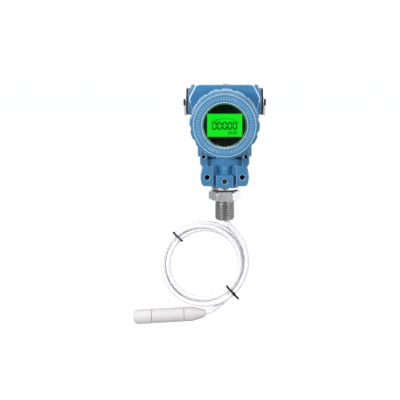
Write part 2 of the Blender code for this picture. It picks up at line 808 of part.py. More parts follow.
def cut_ear_holes(housing):
    """Drill the tapped holes of the ears, front and back."""
    radius = BRACKET_HOLE_DIA / 2
    sink = BRACKET_HOLE_CHAMFER
    for side, flip in (("right", 1), ("left", -1)):
        for face, turn in (("front", 90), ("rear", -90)):
            y_sign = -1 if face == "front" else 1
            outline = [
                (0.0, CUT_OVER),
                (radius + sink + CUT_OVER, CUT_OVER),
                (radius, -sink),
                (radius, -BRACKET_HOLE_DEPTH),
                (0.0, -BRACKET_HOLE_DEPTH - radius * DRILL_POINT),
            ]
            hole = turned(f"bracket_hole_{side}_{face}", outline, steps=SMALL_STEPS)
            x = flip * LOWER_EAR_HOLE_X
            place(hole, HEAD_AXIS, (x, y_sign * LOWER_EAR_HALF_DEPTH, LOWER_EAR_HOLE_HEIGHT), (math.radians(turn), 0, 0))
            combine(housing, hole, "DIFFERENCE", CASTING_SOLVER)
        x = flip * UPPER_EAR_HOLE_X
        small = rod(
            f"upper_ear_hole_{side}",
            UPPER_EAR_HOLE_DIA / 2,
            (x, -UPPER_EAR_HALF_DEPTH - CUT_OVER, UPPER_EAR_HOLE_HEIGHT),
            (x, UPPER_EAR_HOLE_DEPTH - UPPER_EAR_HALF_DEPTH, UPPER_EAR_HOLE_HEIGHT),
        )
        place(small, HEAD_AXIS)
        combine(housing, small, "DIFFERENCE", CASTING_SOLVER)


def build_housing():
    """The die-cast body: barrel, top block, entries, neck, ears and collar."""
    barrel = BARREL_DIA / 2
    thread = COVER_THREAD_DIA / 2
    front = BARREL_HALF + FRONT_SPIGOT
    rear = -BARREL_HALF - REAR_SPIGOT
    edge = CASTING_EDGE
    outline = [
        (0.0, front),
        (thread - edge, front),
        (thread, front - edge),
        (thread, BARREL_HALF),
        (barrel, BARREL_HALF),
        (barrel, -BARREL_HALF),
        (thread, -BARREL_HALF),
        (thread, rear + edge),
        (thread - edge, rear),
        (0.0, rear),
    ]
    housing = turned("housing", outline, BLUE_PAINT)
    place(housing, HEAD_AXIS, (0, 0, AXIS_HEIGHT), (math.radians(90), 0, 0))
    add_top_block(housing)
    add_neck(housing)
    add_ears(housing)
    cut_chambers(housing)
    cut_ear_holes(housing)


def grip_cutter(name, front, rear):
    """Make the ring of round grooves that gives a cover its hand grip."""
    shape = bmesh.new()
    ring = FLANGE_DIA / 2 + GRIP_RADIUS - GRIP_DEPTH
    for i in range(GRIP_NOTCHES):
        angle = GRIP_FIRST + math.tau * i / GRIP_NOTCHES
        centre = (ring * math.cos(angle), ring * math.sin(angle), (front + rear) / 2)
        bmesh.ops.create_cone(
            shape,
            cap_ends=True,
            segments=12,
            radius1=GRIP_RADIUS,
            radius2=GRIP_RADIUS,
            depth=front - rear,
            matrix=Matrix.Translation(centre),
        )
    return from_bmesh(name, shape)


def cover_skirt(thread_depth):
    """Give the outline of a cover's open end, from the rim inwards."""
    flange = FLANGE_DIA / 2
    rim = BARREL_HALF + GAP
    bore = COVER_THREAD_DIA / 2 + THREAD_GAP
    return [
        (flange, rim + FLANGE_CHAMFER / 2),
        (flange - FLANGE_CHAMFER / 2, rim),
        (SEAL_POCKET_RADIUS, rim),
        (SEAL_POCKET_RADIUS, rim + SEAL_POCKET_DEPTH),
        (bore, rim + SEAL_POCKET_DEPTH),
        (bore, thread_depth),
    ]


def build_front_cover():
    """Screwed window cover with its glass, retaining ring and seal."""
    flange = FLANGE_DIA / 2
    ring = RING_DIA / 2
    window = WINDOW_DIA / 2
    face = BARREL_HALF + FRONT_LENGTH
    shoulder = BARREL_HALF + FLANGE_LENGTH
    seat = GLASS_DIA / 2 + GAP
    seat_face = face - FRONT_WALL
    thread_end = BARREL_HALF + FRONT_SPIGOT + COVER_RUNOUT
    outline = [
        (window + WINDOW_BEVEL, face),
        (ring - RING_EDGE, face),
        (ring, face - RING_EDGE),
        (ring + RING_DRAFT, shoulder + RING_FILLET),
        (flange - FLANGE_LAND, shoulder),
        (flange - FLANGE_ROUND, shoulder - FLANGE_ROUND),
        (flange, shoulder - FLANGE_CHAMFER),
    ]
    outline += cover_skirt(thread_end)
    outline += [
        (seat, thread_end),
        (seat, seat_face),
        (window, seat_face),
        (window, face - WINDOW_BEVEL_DEPTH),
    ]
    cover = turned("front_cover", outline, BLUE_PAINT, closed=True)
    place(cover, COVER_AXIS, rotation=(math.radians(90), 0, 0))
    grip = grip_cutter("front_grip", shoulder + CUT_OVER, BARREL_HALF - CUT_OVER)
    place(grip, COVER_AXIS, rotation=(math.radians(90), 0, 0))
    combine(cover, grip, "DIFFERENCE")

    glass_rear = GLASS_FRONT - GLASS_THICKNESS
    radius = GLASS_DIA / 2
    edge = GLASS_EDGE
    outline = [
        (0.0, GLASS_FRONT),
        (radius - edge, GLASS_FRONT),
        (radius, GLASS_FRONT - edge),
        (radius, glass_rear + edge),
        (radius - edge, glass_rear),
        (0.0, glass_rear),
    ]
    glass = turned("front_glass", outline, GLASS)
    place(glass, COVER_AXIS, rotation=(math.radians(90), 0, 0))

    inner = radius - RETAINER_WALL
    outline = [
        (inner, RETAINER_FRONT),
        (radius, RETAINER_FRONT),
        (radius, RETAINER_FRONT - RETAINER_HEIGHT),
        (inner + RETAINER_EDGE, RETAINER_FRONT - RETAINER_HEIGHT),
        (inner, RETAINER_FRONT - RETAINER_HEIGHT + RETAINER_EDGE),
    ]
    retainer = turned("glass_retainer", outline, BLACK_METAL, closed=True)
    place(retainer, COVER_AXIS, rotation=(math.radians(90), 0, 0))


def build_rear_cover():
    """Screwed blind cover of the wiring chamber."""
    flange = FLANGE_DIA / 2
    ring = REAR_RING_DIA / 2
    face = BARREL_HALF + REAR_LENGTH
    shoulder = BARREL_HALF + FLANGE_LENGTH
    thread_end = BARREL_HALF + REAR_SPIGOT + COVER_RUNOUT
    cavity = CHAMBER_DIA / 2
    outline = [
        (0.0, face),
        (ring - REAR_DISH, face),
        (ring, face - RING_EDGE),
        (flange - FLANGE_LAND, shoulder),
        (flange - FLANGE_ROUND, shoulder - FLANGE_ROUND),
        (flange, shoulder - FLANGE_CHAMFER),
    ]
    outline += cover_skirt(thread_end)
    outline += [
        (cavity, thread_end),
        (cavity - REAR_CAVITY_DRAFT, face - REAR_WALL),
        (0.0, face - REAR_WALL),
    ]
    cover = turned("rear_cover", outline, BLUE_PAINT)
    place(cover, COVER_AXIS, rotation=(math.radians(-90), 0, 0))
    grip = grip_cutter("rear_grip", shoulder + CUT_OVER, BARREL_HALF - CUT_OVER)
    place(grip, COVER_AXIS, rotation=(math.radians(-90), 0, 0))
    combine(cover, grip, "DIFFERENCE")


def build_cover_seals():
    """Round rubber cords in the covers' end faces."""
    for name, turn in (("front_seal", 90), ("rear_seal", -90)):
        outline = arc(SEAL_RING_RADIUS, BARREL_HALF + GAP + SEAL_RADIUS, SEAL_RADIUS, 90, -210, 5)
        seal = turned(name, outline, RUBBER, closed=True)
        place(seal, COVER_AXIS, rotation=(math.radians(turn), 0, 0))


def build_plug(side, turn):
    """Slotted steel plug of one cable entry, its bar and its gasket."""
    place_plug = (0, math.radians(turn), 0)
    radius = PLUG_DIA / 2
    shank = ENTRY_BORE_DIA / 2 - THREAD_GAP
    inner = ENTRY_HALF_SPAN + GAP + GASKET_THICKNESS + GAP
    outer = inner + PLUG_THICKNESS
    shank_end = ENTRY_HALF_SPAN - PLUG_SHANK_LENGTH
    outline = [
        (0.0, outer),
        (radius - PLUG_RIM, outer),
        (radius - PLUG_ROUND, outer - PLUG_ROUND),
        (radius, outer - PLUG_RIM),
        (radius, inner + PLUG_ROUND),
        (radius - PLUG_ROUND, inner),
        (shank, inner),
        (shank, shank_end + PLUG_TIP_CHAMFER),
        (shank - PLUG_TIP_CHAMFER, shank_end),
        (0.0, shank_end),
    ]
    plug = turned(f"plug_{side}", outline, POLISHED_STEEL, steps=MEDIUM_STEPS)
    place(plug, ENTRY_AXIS, rotation=place_plug)
    half = PLUG_SLOT_WIDTH / 2
    slot = block(
        f"plug_slot_{side}",
        (-half, -radius - CUT_OVER, outer - PLUG_SLOT_DEPTH),
        (half, radius + CUT_OVER, outer + CUT_OVER),
    )
    place(slot, ENTRY_AXIS, rotation=place_plug)
    combine(plug, slot, "DIFFERENCE")

    bar_half = half - GAP
    bar = block(
        f"plug_bar_{side}",
        (-bar_half, -radius + PLUG_RIM, outer - PLUG_SLOT_DEPTH + GAP),
        (bar_half, radius - PLUG_RIM, outer + PLUG_BAR_PROUD),
        BLACK_PLASTIC,
        bevel=PLUG_BAR_EDGE,
    )
    place(bar, ENTRY_AXIS, rotation=place_plug)

    start = ENTRY_HALF_SPAN + GAP
    outline = [
        (ENTRY_BORE_DIA / 2, start + GASKET_THICKNESS),
        (GASKET_DIA / 2, start + GASKET_THICKNESS),
        (GASKET_DIA / 2, start),
        (ENTRY_BORE_DIA / 2, start),
    ]
    gasket = turned(f"plug_gasket_{side}", outline, RUBBER, steps=MEDIUM_STEPS, closed=True)
    place(gasket, ENTRY_AXIS, rotation=place_plug)


def build_set_screw():
    """Socket set screw that locks the head on the fitting's spigot."""
    radius = SET_SCREW_DIA / 2
    tip = SPIGOT_DIA / 2 + GAP
    head = tip + SET_SCREW_LENGTH
    edge = SCREW_EDGE
    outline = [
        (0.0, head),
        (radius - edge, head),
        (radius, head - edge),
        (radius, tip + 2 * edge),
        (radius - 2 * edge, tip),
        (0.0, tip),
    ]
    screw = turned("set_screw", outline, POLISHED_STEEL, steps=SMALL_STEPS)
    place(screw, HEAD_AXIS, (0, 0, SET_SCREW_HEIGHT), (math.radians(90), 0, 0))
    socket = rod(
        "set_screw_socket",
        SET_SCREW_SOCKET_FLATS / 2 / math.cos(math.pi / 6),
        (0, 0, head - SET_SCREW_SOCKET_DEPTH),
        (0, 0, head + CUT_OVER),
        steps=6,
    )
    place(socket, HEAD_AXIS, (0, 0, SET_SCREW_HEIGHT), (math.radians(90), 0, 0))
    combine(screw, socket, "DIFFERENCE")


def build_display():
    """Potted module, board, bezel and liquid-crystal panel of the front chamber."""
    face_turn = (math.radians(90), 0, 0)
    module_rear = PARTITION_FRONT + GAP
    module_front = module_rear + MODULE_LENGTH
    radius = MODULE_DIA / 2
    edge = MOULDED_EDGE
    outline = [
        (0.0, module_front),
        (radius - edge, module_front),
        (radius, module_front - edge),
        (radius, module_rear),
        (0.0, module_rear),
    ]
    module = turned("electronics_module", outline, POTTING, steps=LARGE_STEPS)
    place(module, COVER_AXIS, rotation=face_turn)

    board_rear = module_front + GAP
    board_front = board_rear + BOARD_THICKNESS
    board = rod(
        "display_board",
        DISPLAY_DIA / 2,
        (0, 0, board_rear),
        (0, 0, board_front),
        BOARD_GREEN,
        steps=LARGE_STEPS,
    )
    place(board, COVER_AXIS, rotation=face_turn)

    bezel_rear = board_front + GAP
    radius = DISPLAY_DIA / 2
    inner = radius - BEZEL_WALL
    outline = [
        (0.0, BEZEL_FRONT),
        (radius - edge, BEZEL_FRONT),
        (radius, BEZEL_FRONT - edge),
        (radius, bezel_rear),
        (inner, bezel_rear),
        (inner, SCREEN_FACE),
        (0.0, SCREEN_FACE),
    ]
    bezel = turned("display_bezel", outline, BLACK_PLASTIC, steps=LARGE_STEPS)
    place(bezel, COVER_AXIS, rotation=face_turn)
    half_width = SCREEN_WIDTH / 2
    half_height = SCREEN_HEIGHT / 2
    window = block(
        "screen_window",
        (-half_width, -half_height - SCREEN_DROP, SCREEN_FACE - CUT_OVER),
        (half_width, half_height - SCREEN_DROP, BEZEL_FRONT + CUT_OVER),
    )
    place(window, COVER_AXIS, rotation=face_turn)
    combine(bezel, window, "DIFFERENCE")

    lcd_front = SCREEN_FACE - GAP
    lcd = block(
        "lcd_panel",
        (-half_width - LCD_MARGIN, -half_height - LCD_MARGIN - SCREEN_DROP, lcd_front - LCD_THICKNESS),
        (half_width + LCD_MARGIN, half_height + LCD_MARGIN - SCREEN_DROP, lcd_front),
        LCD_GREEN,
        bevel=LCD_EDGE,
        segments=1,
    )
    place(lcd, COVER_AXIS, rotation=face_turn)


def build_terminals():
    """Stepped terminal block of the wiring chamber, with its clamp screws."""
    rear_turn = (math.radians(-90), 0, 0)
    base = PARTITION_THICKNESS - PARTITION_FRONT + GAP
    top = base + TERMINAL_DEPTH
    half_width = TERMINAL_WIDTH / 2
    half_height = TERMINAL_HEIGHT / 2
    screw_radius = TERMINAL_SCREW_DIA / 2
    body = block(
        "terminal_block",
        (-half_width, -half_height, base),
        (half_width, half_height, top),
        BLACK_PLASTIC,
        bevel=MOULDED_EDGE,
        segments=1,
    )
    place(body, COVER_AXIS, rotation=rear_turn)
    step = block(
        "terminal_step",
        (-half_width - CUT_OVER, -half_height - CUT_OVER, top - TERMINAL_STEP),
        (half_width + CUT_OVER, -half_height + TERMINAL_STEP, top + CUT_OVER),
    )
    place(step, COVER_AXIS, rotation=rear_turn)
    combine(body, step, "DIFFERENCE")
    row_height = TERMINAL_STEP / 2
    seat = top - TERMINAL_SCREW_HEAD - TERMINAL_SCREW_SINK
    for i in range(TERMINAL_COUNT):
        x = (i - (TERMINAL_COUNT - 1) / 2) * TERMINAL_PITCH
        shank = TERMINAL_SHANK_DIA / 2
        bore = [
            (0.0, top + CUT_OVER),
            (screw_radius + GAP, top + CUT_OVER),
            (screw_radius + GAP, seat - GAP),
            (shank + THREAD_GAP, seat - GAP),
            (shank + THREAD_GAP, seat - TERMINAL_SHANK_LENGTH - GAP),
            (0.0, seat - TERMINAL_SHANK_LENGTH - GAP),
        ]
        hole = turned(f"terminal_hole_{i + 1}", bore, steps=SMALL_STEPS)
        place(hole, COVER_AXIS, (x, 0, -row_height), rear_turn)
        combine(body, hole, "DIFFERENCE")
        outline = [
            (0.0, seat + TERMINAL_SCREW_HEAD),
            (screw_radius - SCREW_EDGE, seat + TERMINAL_SCREW_HEAD),
            (screw_radius, seat + TERMINAL_SCREW_HEAD - SCREW_EDGE),
            (screw_radius, seat),
            (shank, seat),
            (shank, seat - TERMINAL_SHANK_LENGTH),
            (0.0, seat - TERMINAL_SHANK_LENGTH),
        ]
        screw = turned(f"terminal_screw_{i + 1}", outline, BRASS, steps=SMALL_STEPS)
        place(screw, COVER_AXIS, (x, 0, -row_height), rear_turn)
        half_slot = TERMINAL_SLOT / 2
        slot = block(
            f"terminal_slot_{i + 1}",
            (-screw_radius - CUT_OVER, -half_slot, seat + TERMINAL_SCREW_HEAD / 2),
            (screw_radius + CUT_OVER, half_slot, seat + TERMINAL_SCREW_HEAD + CUT_OVER),
        )
        place(slot, COVER_AXIS, (x, 0, -row_height), rear_turn)
        combine(screw, slot, "DIFFERENCE")


def build_cable():
    """Lead, coil, ties and tail of the stiff PTFE cable."""
    start = Vector((0, 0, CABLE_START_DEPTH - THREAD_LENGTH))
    lead = [start] + catmull_rom(LEAD_ROUTE, CABLE_DIA / 2)
    tube("cable_lead", lead, CABLE_DIA, PTFE)

    half = COIL_HALF_DEPTH
    fillet = COIL_ROUND
    outline = arc(COIL_OUTER - fillet, half - fillet, fillet, 90, 0, 1)
    outline += arc(COIL_OUTER - fillet, fillet - half, fillet, 0, -90, 1)
    outline += arc(COIL_INNER + fillet, fillet - half, fillet, -90, -180, 1)
    outline += arc(COIL_INNER + fillet, half - fillet, fillet, 180, 90, 1)
    coil = turned("cable_coil", outline, PTFE, steps=MEDIUM_STEPS, closed=True)
    centre = (COIL_CENTRE_X, 0, COIL_CENTRE_Z)
    place(coil, PROCESS_AXIS, centre, (math.radians(90), 0, 0))

    nose = Vector((PROBE_NOSE_X, 0, PROBE_NOSE_Z))
    inwards = Vector((-math.cos(PROBE_TILT), 0, -math.sin(PROBE_TILT)))
    tail = catmull_rom([*TAIL_ROUTE, nose], CABLE_DIA / 2)
    tail.append(nose + inwards * (NOSE_SOCKET_DEPTH - GAP))
    tube("cable_tail", tail, CABLE_DIA, PTFE)

    wire = TIE_WIRE_DIA / 2
    middle = (COIL_OUTER + COIL_INNER) / 2
    reach = (COIL_OUTER - COIL_INNER) / 2 + TIE_CLEAR + wire
    depth = COIL_HALF_DEPTH + TIE_CLEAR + wire
    for name, angle in (("tie_upper", TIE_UPPER_ANGLE), ("tie_lower", TIE_LOWER_ANGLE)):
        along = Vector((math.cos(angle), 0, math.sin(angle)))
        across = Vector((0, 1, 0))
        base = Vector(centre) + along * middle
        loop = []
        for i in range(TIE_STEPS):
            turn = math.tau * i / TIE_STEPS
            c, s = math.cos(turn), math.sin(turn)
            square = (abs(c) ** TIE_SQUARENESS + abs(s) ** TIE_SQUARENESS) ** (-1 / TIE_SQUARENESS)
            loop.append(base + along * reach * square * c + across * depth * square * s)
        tube(name, loop, TIE_WIRE_DIA, BLACK_PLASTIC, cyclic=True)


def build_probe():
    """Three-piece PTFE probe: nose with the cable, body and domed cap."""
    radius = PROBE_DIA / 2
    spigot = PROBE_SPIGOT_DIA / 2
    socket = spigot + THREAD_GAP
    tip = NOSE_TIP_DIA / 2
    bore = CABLE_DIA / 2 + GAP
    joint = -NOSE_TAPER - NOSE_COLLAR
    edge = PROBE_EDGE
    depth = PROBE_SPIGOT_LENGTH
    nose_outline = [
        (0.0, -NOSE_SOCKET_DEPTH),
        (bore, -NOSE_SOCKET_DEPTH),
        (bore, 0.0),
        (tip, 0.0),
        (tip + NOSE_BULGE, -NOSE_TAPER / 2),
        (radius - edge, -NOSE_TAPER + edge),
        (radius, -NOSE_TAPER - edge),
        (radius, joint + edge),
        (radius - edge, joint),
        (socket, joint),
        (socket, joint + depth + GAP),
        (0.0, joint + depth + GAP),
    ]
    body_top = joint - GAP
    body_end = body_top - BODY_LENGTH
    body_outline = [
        (0.0, joint + depth),
        (spigot, joint + depth),
        (spigot, body_top),
        (radius - edge, body_top),
        (radius, body_top - edge),
        (radius, body_end + edge),
        (radius - edge, body_end),
        (spigot, body_end),
        (spigot, body_end - GAP - depth),
        (0.0, body_end - GAP - depth),
    ]
    cap_top = body_end - GAP
    cap_radius = radius + CAP_EXTRA_DIA / 2
    dome = DOME_HEIGHT
    cap_end = cap_top - CAP_LENGTH
    cap_outline = [
        (0.0, cap_top - depth - GAP),
        (socket, cap_top - depth - GAP),
        (socket, cap_top),
        (cap_radius - edge, cap_top),
        (cap_radius, cap_top - edge),
    ]
    for i in range(DOME_STEPS + 1):
        angle = math.radians(90.0 * i / DOME_STEPS)
        width = cap_radius - DOME_INSET * (1 - math.cos(angle))
        cap_outline.append((width, cap_end + dome * (1 - math.sin(angle))))
    cap_outline.append((0.0, cap_end))
    # The probe's axis points from its cap to the cable, so height falls away from it.
    turn = (0, math.radians(90) - PROBE_TILT, 0)
    for name, outline in (
        ("probe_nose", nose_outline),
        ("probe_body", body_outline),
        ("probe_cap", cap_outline),
    ):
        piece = turned(name, outline, PTFE, steps=PROBE_STEPS)
        place(piece, PROCESS_AXIS, (PROBE_NOSE_X, 0, PROBE_NOSE_Z), turn)


clear_scene()
PIECES = new_collection("level_transmitter")
GUIDES = new_collection("cutters_and_forms")
BLUE_PAINT = new_material("blue_paint", (0.05, 0.24, 0.52), 0.38)
STEEL = new_material("steel", (0.62, 0.62, 0.63), 0.32, metallic=1.0)
POLISHED_STEEL = new_material("polished_steel", (0.80, 0.80, 0.80), 0.16, metallic=1.0)
BLACK_METAL = new_material("black_metal", (0.03, 0.03, 0.03), 0.40, metallic=0.6)
BRASS = new_material("brass", (0.75, 0.55, 0.25), 0.30, metallic=1.0)
RUBBER = new_material("rubber", (0.02, 0.02, 0.02), 0.70)
BLACK_PLASTIC = new_material("black_plastic", (0.02, 0.02, 0.02), 0.45)
POTTING = new_material("potting", (0.05, 0.05, 0.06), 0.50)
BOARD_GREEN = new_material("board_green", (0.02, 0.16, 0.07), 0.45)
LCD_GREEN = new_material("lcd_green", (0.0, 0.80, 0.03), 0.40)
GLASS = new_material("glass", (0.85, 0.92, 0.90), 0.05, alpha=0.3)
PTFE = new_material("ptfe", (0.86, 0.85, 0.85), 0.45)
PROCESS_AXIS = new_axis("process_axis", (0, 0, 0))
HEAD_AXIS = new_axis("head_turn_axis", (0, 0, COLLAR_Z), PROCESS_AXIS)
COVER_AXIS = new_axis("cover_axis", (0, 0, AXIS_HEIGHT), HEAD_AXIS)
ENTRY_AXIS = new_axis("entry_axis", (0, 0, ENTRY_RISE), COVER_AXIS)

build_fitting()
build_housing()
build_front_cover()
build_rear_cover()
build_cover_seals()
build_plug("right", 90)
build_plug("left", -90)
build_set_screw()
build_display()
build_terminals()
build_cable()
build_probe()
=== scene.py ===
"""Looks of a submersible level transmitter: a blue die-cast display head on a threaded
steel fitting, with a tied coil of white cable and a white probe. Lengths are in metres."""
import math

import bmesh
import bpy
import numpy as np
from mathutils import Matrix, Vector


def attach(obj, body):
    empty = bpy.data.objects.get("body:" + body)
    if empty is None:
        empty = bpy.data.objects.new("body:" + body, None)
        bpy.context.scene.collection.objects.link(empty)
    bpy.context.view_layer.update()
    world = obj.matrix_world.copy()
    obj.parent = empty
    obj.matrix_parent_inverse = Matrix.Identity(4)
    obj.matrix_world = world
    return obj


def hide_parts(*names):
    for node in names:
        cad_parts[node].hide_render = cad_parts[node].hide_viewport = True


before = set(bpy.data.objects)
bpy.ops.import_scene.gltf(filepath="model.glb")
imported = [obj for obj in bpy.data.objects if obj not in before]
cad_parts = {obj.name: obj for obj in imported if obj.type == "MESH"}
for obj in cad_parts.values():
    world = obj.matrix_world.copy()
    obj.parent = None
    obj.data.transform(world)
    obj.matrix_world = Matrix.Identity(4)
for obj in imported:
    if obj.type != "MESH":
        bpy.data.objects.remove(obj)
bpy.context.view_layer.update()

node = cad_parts
MM = 0.001

# Camera: a long lens that looks down at the transmitter by ten degrees. The view is shifted
# sideways, so the head is still seen square on.
PICTURE = 400
METRES_PER_PIXEL = 0.00108
SHIFT_PIXELS = -24.7
SENSOR = 36.0
CAMERA_DISTANCE = 1.10
CAMERA_LIFT = math.radians(10.0)
AIM = Vector((0.0, 0.0, -0.00055))
lens = bpy.data.cameras.new("product_camera")
lens.sensor_width = SENSOR
lens.lens = SENSOR * CAMERA_DISTANCE / (PICTURE * METRES_PER_PIXEL)
lens.shift_x = SHIFT_PIXELS / PICTURE
camera = bpy.data.objects.new("product_camera", lens)
camera.location = AIM + CAMERA_DISTANCE * Vector((0.0, -math.cos(CAMERA_LIFT), math.sin(CAMERA_LIFT)))
camera.rotation_euler = (math.pi / 2 - CAMERA_LIFT, 0.0, 0.0)
bpy.context.scene.collection.objects.link(camera)
bpy.context.scene.camera = camera
bpy.context.scene.view_settings.view_transform = "Standard"

# Studio light: a white tent, brighter above than below. What steel and glass mirror is a
# studio with a white card to each side, the right one brighter, and a white roof and sheet,
# with dark between them where the camera stands.
CARD_STOPS = ((0.08, 0.26), (0.31, 0.70), (0.46, 0.03), (0.54, 0.03), (0.70, 0.52), (0.90, 0.75))
ROOF_STOPS = ((0.20, 0.36), (0.34, 0.0), (0.50, 0.0), (0.64, 0.60), (0.80, 0.85))
WHITE = (1.0, 1.0, 1.0, 1.0)


def feed(tree, taker, inputs):
    """Fill a node's inputs: another node's socket is linked, anything else is a value."""
    for name, value in inputs.items():
        if isinstance(value, bpy.types.NodeSocket):
            tree.links.new(value, taker.inputs[name])
        else:
            taker.inputs[name].default_value = value


def add_node(tree, kind, inputs):
    """Add a shader node of a kind and fill its inputs."""
    made = tree.nodes.new("ShaderNode" + kind)
    feed(tree, made, inputs)
    return made


def mix_colours(tree, share, first, second, blend="MIX"):
    """Blend from a first colour to a second by a share."""
    made = tree.nodes.new("ShaderNodeMix")
    made.data_type = "RGBA"
    made.blend_type = blend
    feed(tree, made, {"Factor": share, "A": first, "B": second})
    return made.outputs["Result"]


def ranged(tree, value, low, high, start=0.0, end=1.0):
    """Carry a value between start and end over to between low and high."""
    inputs = {"Value": value, "From Min": start, "From Max": end, "To Min": low, "To Max": high}
    return add_node(tree, "MapRange", inputs).outputs["Result"]


def studio_ramp(tree, way, first, last, stops):
    """Levels of grey along one axis of the view, which goes from -1 to 1."""
    made = add_node(tree, "ValToRGB", {"Fac": ranged(tree, way, 0.0, 1.0, -1.0, 1.0)})
    ramp = made.color_ramp
    ramp.interpolation = "EASE"
    ramp.elements[0].color = first
    ramp.elements[1].color = last
    for place, level in stops:
        ramp.elements.new(place).color = (level, level, level, 1.0)
    return made.outputs["Color"]


world = bpy.data.worlds.new("light_tent")
bpy.context.scene.world = world
world.use_nodes = True
tent = world.node_tree
tent.nodes.clear()
tent_way = add_node(tent, "TexCoord", {})
tent_split = add_node(tent, "SeparateXYZ", {"Vector": tent_way.outputs["Generated"]})
tent_height = ranged(tent, tent_split.outputs["Z"], 0.22, 0.44, -0.6, 0.9)
tent_lit = add_node(tent, "Background", {"Color": (0.96, 0.98, 1.0, 1.0), "Strength": tent_height})
tent_cards = studio_ramp(tent, tent_split.outputs["X"], (0.20, 0.20, 0.21, 1.0), WHITE, CARD_STOPS)
tent_roof = studio_ramp(
    tent, tent_split.outputs["Z"], (0.45, 0.45, 0.45, 1.0), (0.80, 0.80, 0.80, 1.0), ROOF_STOPS
)
tent_studio = mix_colours(tent, 1.0, tent_cards, tent_roof, "LIGHTEN")
tent_mirrored = add_node(tent, "Background", {"Color": tent_studio, "Strength": 1.5})
tent_seen = add_node(tent, "Background", {"Color": WHITE, "Strength": 1.0})
tent_path = add_node(tent, "LightPath", {})
tent_bounce = add_node(tent, "Math", {})
tent_bounce.operation = "MAXIMUM"
feed(
    tent,
    tent_bounce,
    {0: tent_path.outputs["Is Glossy Ray"], 1: tent_path.outputs["Is Transmission Ray"]},
)
tent_mix = add_node(
    tent, "MixShader", {0: tent_bounce.outputs[0], 1: tent_lit.outputs[0], 2: tent_mirrored.outputs[0]}
)
tent_pick = add_node(
    tent,
    "MixShader",
    {0: tent_path.outputs["Is Camera Ray"], 1: tent_mix.outputs[0], 2: tent_seen.outputs[0]},
)
add_node(tent, "OutputWorld", {"Surface": tent_pick.outputs[0]})


def soft_box(name, place, target, size, power):
    """Hang a rectangular soft light at a place, turned to a target."""
    data = bpy.data.lights.new(name, "AREA")
    data.shape = "RECTANGLE"
    data.size, data.size_y = size
    data.energy = power
    box = bpy.data.objects.new(name, data)
    box.location = place
    box.rotation_euler = (Vector(target) - Vector(place)).to_track_quat("-Z", "Y").to_euler()
    bpy.context.scene.collection.objects.link(box)


soft_box("soft_box_left", (-0.86, -0.86, 0.34), (0.0, 0.0, 0.04), (0.30, 0.30), 10.0)
soft_box("soft_box_right", (0.92, -0.86, 0.30), (0.0, 0.0, 0.04), (0.26, 0.30), 6.0)
soft_box("soft_box_top", (0.0, -0.45, 1.0), (0.0, 0.0, 0.06), (0.80, 0.40), 3.0)

# Floor: a white sheet well below the hanging probe. It looks white where it is lit and
# still takes the object's shadow. Steel mirrors the studio in its place.
FLOOR_Z = -0.26
FLOOR_HALF = 6.0
floor_corners = [(x * FLOOR_HALF, y * FLOOR_HALF, FLOOR_Z) for x, y in ((-1, -1), (1, -1), (1, 1), (-1, 1))]
sheet_mesh = bpy.data.meshes.new("studio_floor")
sheet_mesh.from_pydata(floor_corners, [], [(0, 1, 2, 3)])
floor = bpy.data.objects.new("studio_floor", sheet_mesh)
bpy.context.scene.collection.objects.link(floor)
floor_white = bpy.data.materials.new("studio_floor_white")
floor_white.use_nodes = True
paper = floor_white.node_tree
paper.nodes.clear()
paper_matte = add_node(paper, "BsdfDiffuse", {"Color": (0.50, 0.50, 0.50, 1.0)})
paper_glow = add_node(paper, "Emission", {"Strength": 0.80})
paper_sum = add_node(paper, "AddShader", {0: paper_matte.outputs[0], 1: paper_glow.outputs[0]})
paper_path = add_node(paper, "LightPath", {})
paper_pick = add_node(
    paper,
    "MixShader",
    {0: paper_path.outputs["Is Camera Ray"], 1: paper_matte.outputs[0], 2: paper_sum.outputs[0]},
)
paper_open = add_node(paper, "BsdfTransparent", {})
paper_mirrored = add_node(
    paper,
    "MixShader",
    {0: paper_path.outputs["Is Glossy Ray"], 1: paper_pick.outputs[0], 2: paper_open.outputs[0]},
)
add_node(paper, "OutputMaterial", {"Surface": paper_mirrored.outputs[0]})
sheet_mesh.materials.append(floor_white)

# Cable: a stiff white PTFE tube of 5.2 mm with the conductors and the vent tube inside. It
# comes straight down out of the fitting, joins the coil from outside and lies in three
# turns, two wide and two deep, before it leaves at the lower right for the probe.
CABLE_DIA = 0.0052
COIL_CENTRE = np.array((-0.0217, 0.0, -0.0708))
PROBE_TILT = math.radians(3.2)
PROBE_TIP = np.array((-0.0214, 0.0, -0.1270))
SOCKET_DEPTH = 0.0057
ROUTE_SPACING = 0.0018
ROUTE_PASSES = 14
LEAD_ROUTE = MM * np.array(
    (
        (0.0, 0.0, -16.7), (0.0, 0.0, -18.5), (0.0, 0.0, -20.2), (0.15, 0.0, -22.0),
        (0.95, -0.1, -24.2), (2.4, -0.2, -26.3), (4.4, -0.5, -28.3),
    )
)
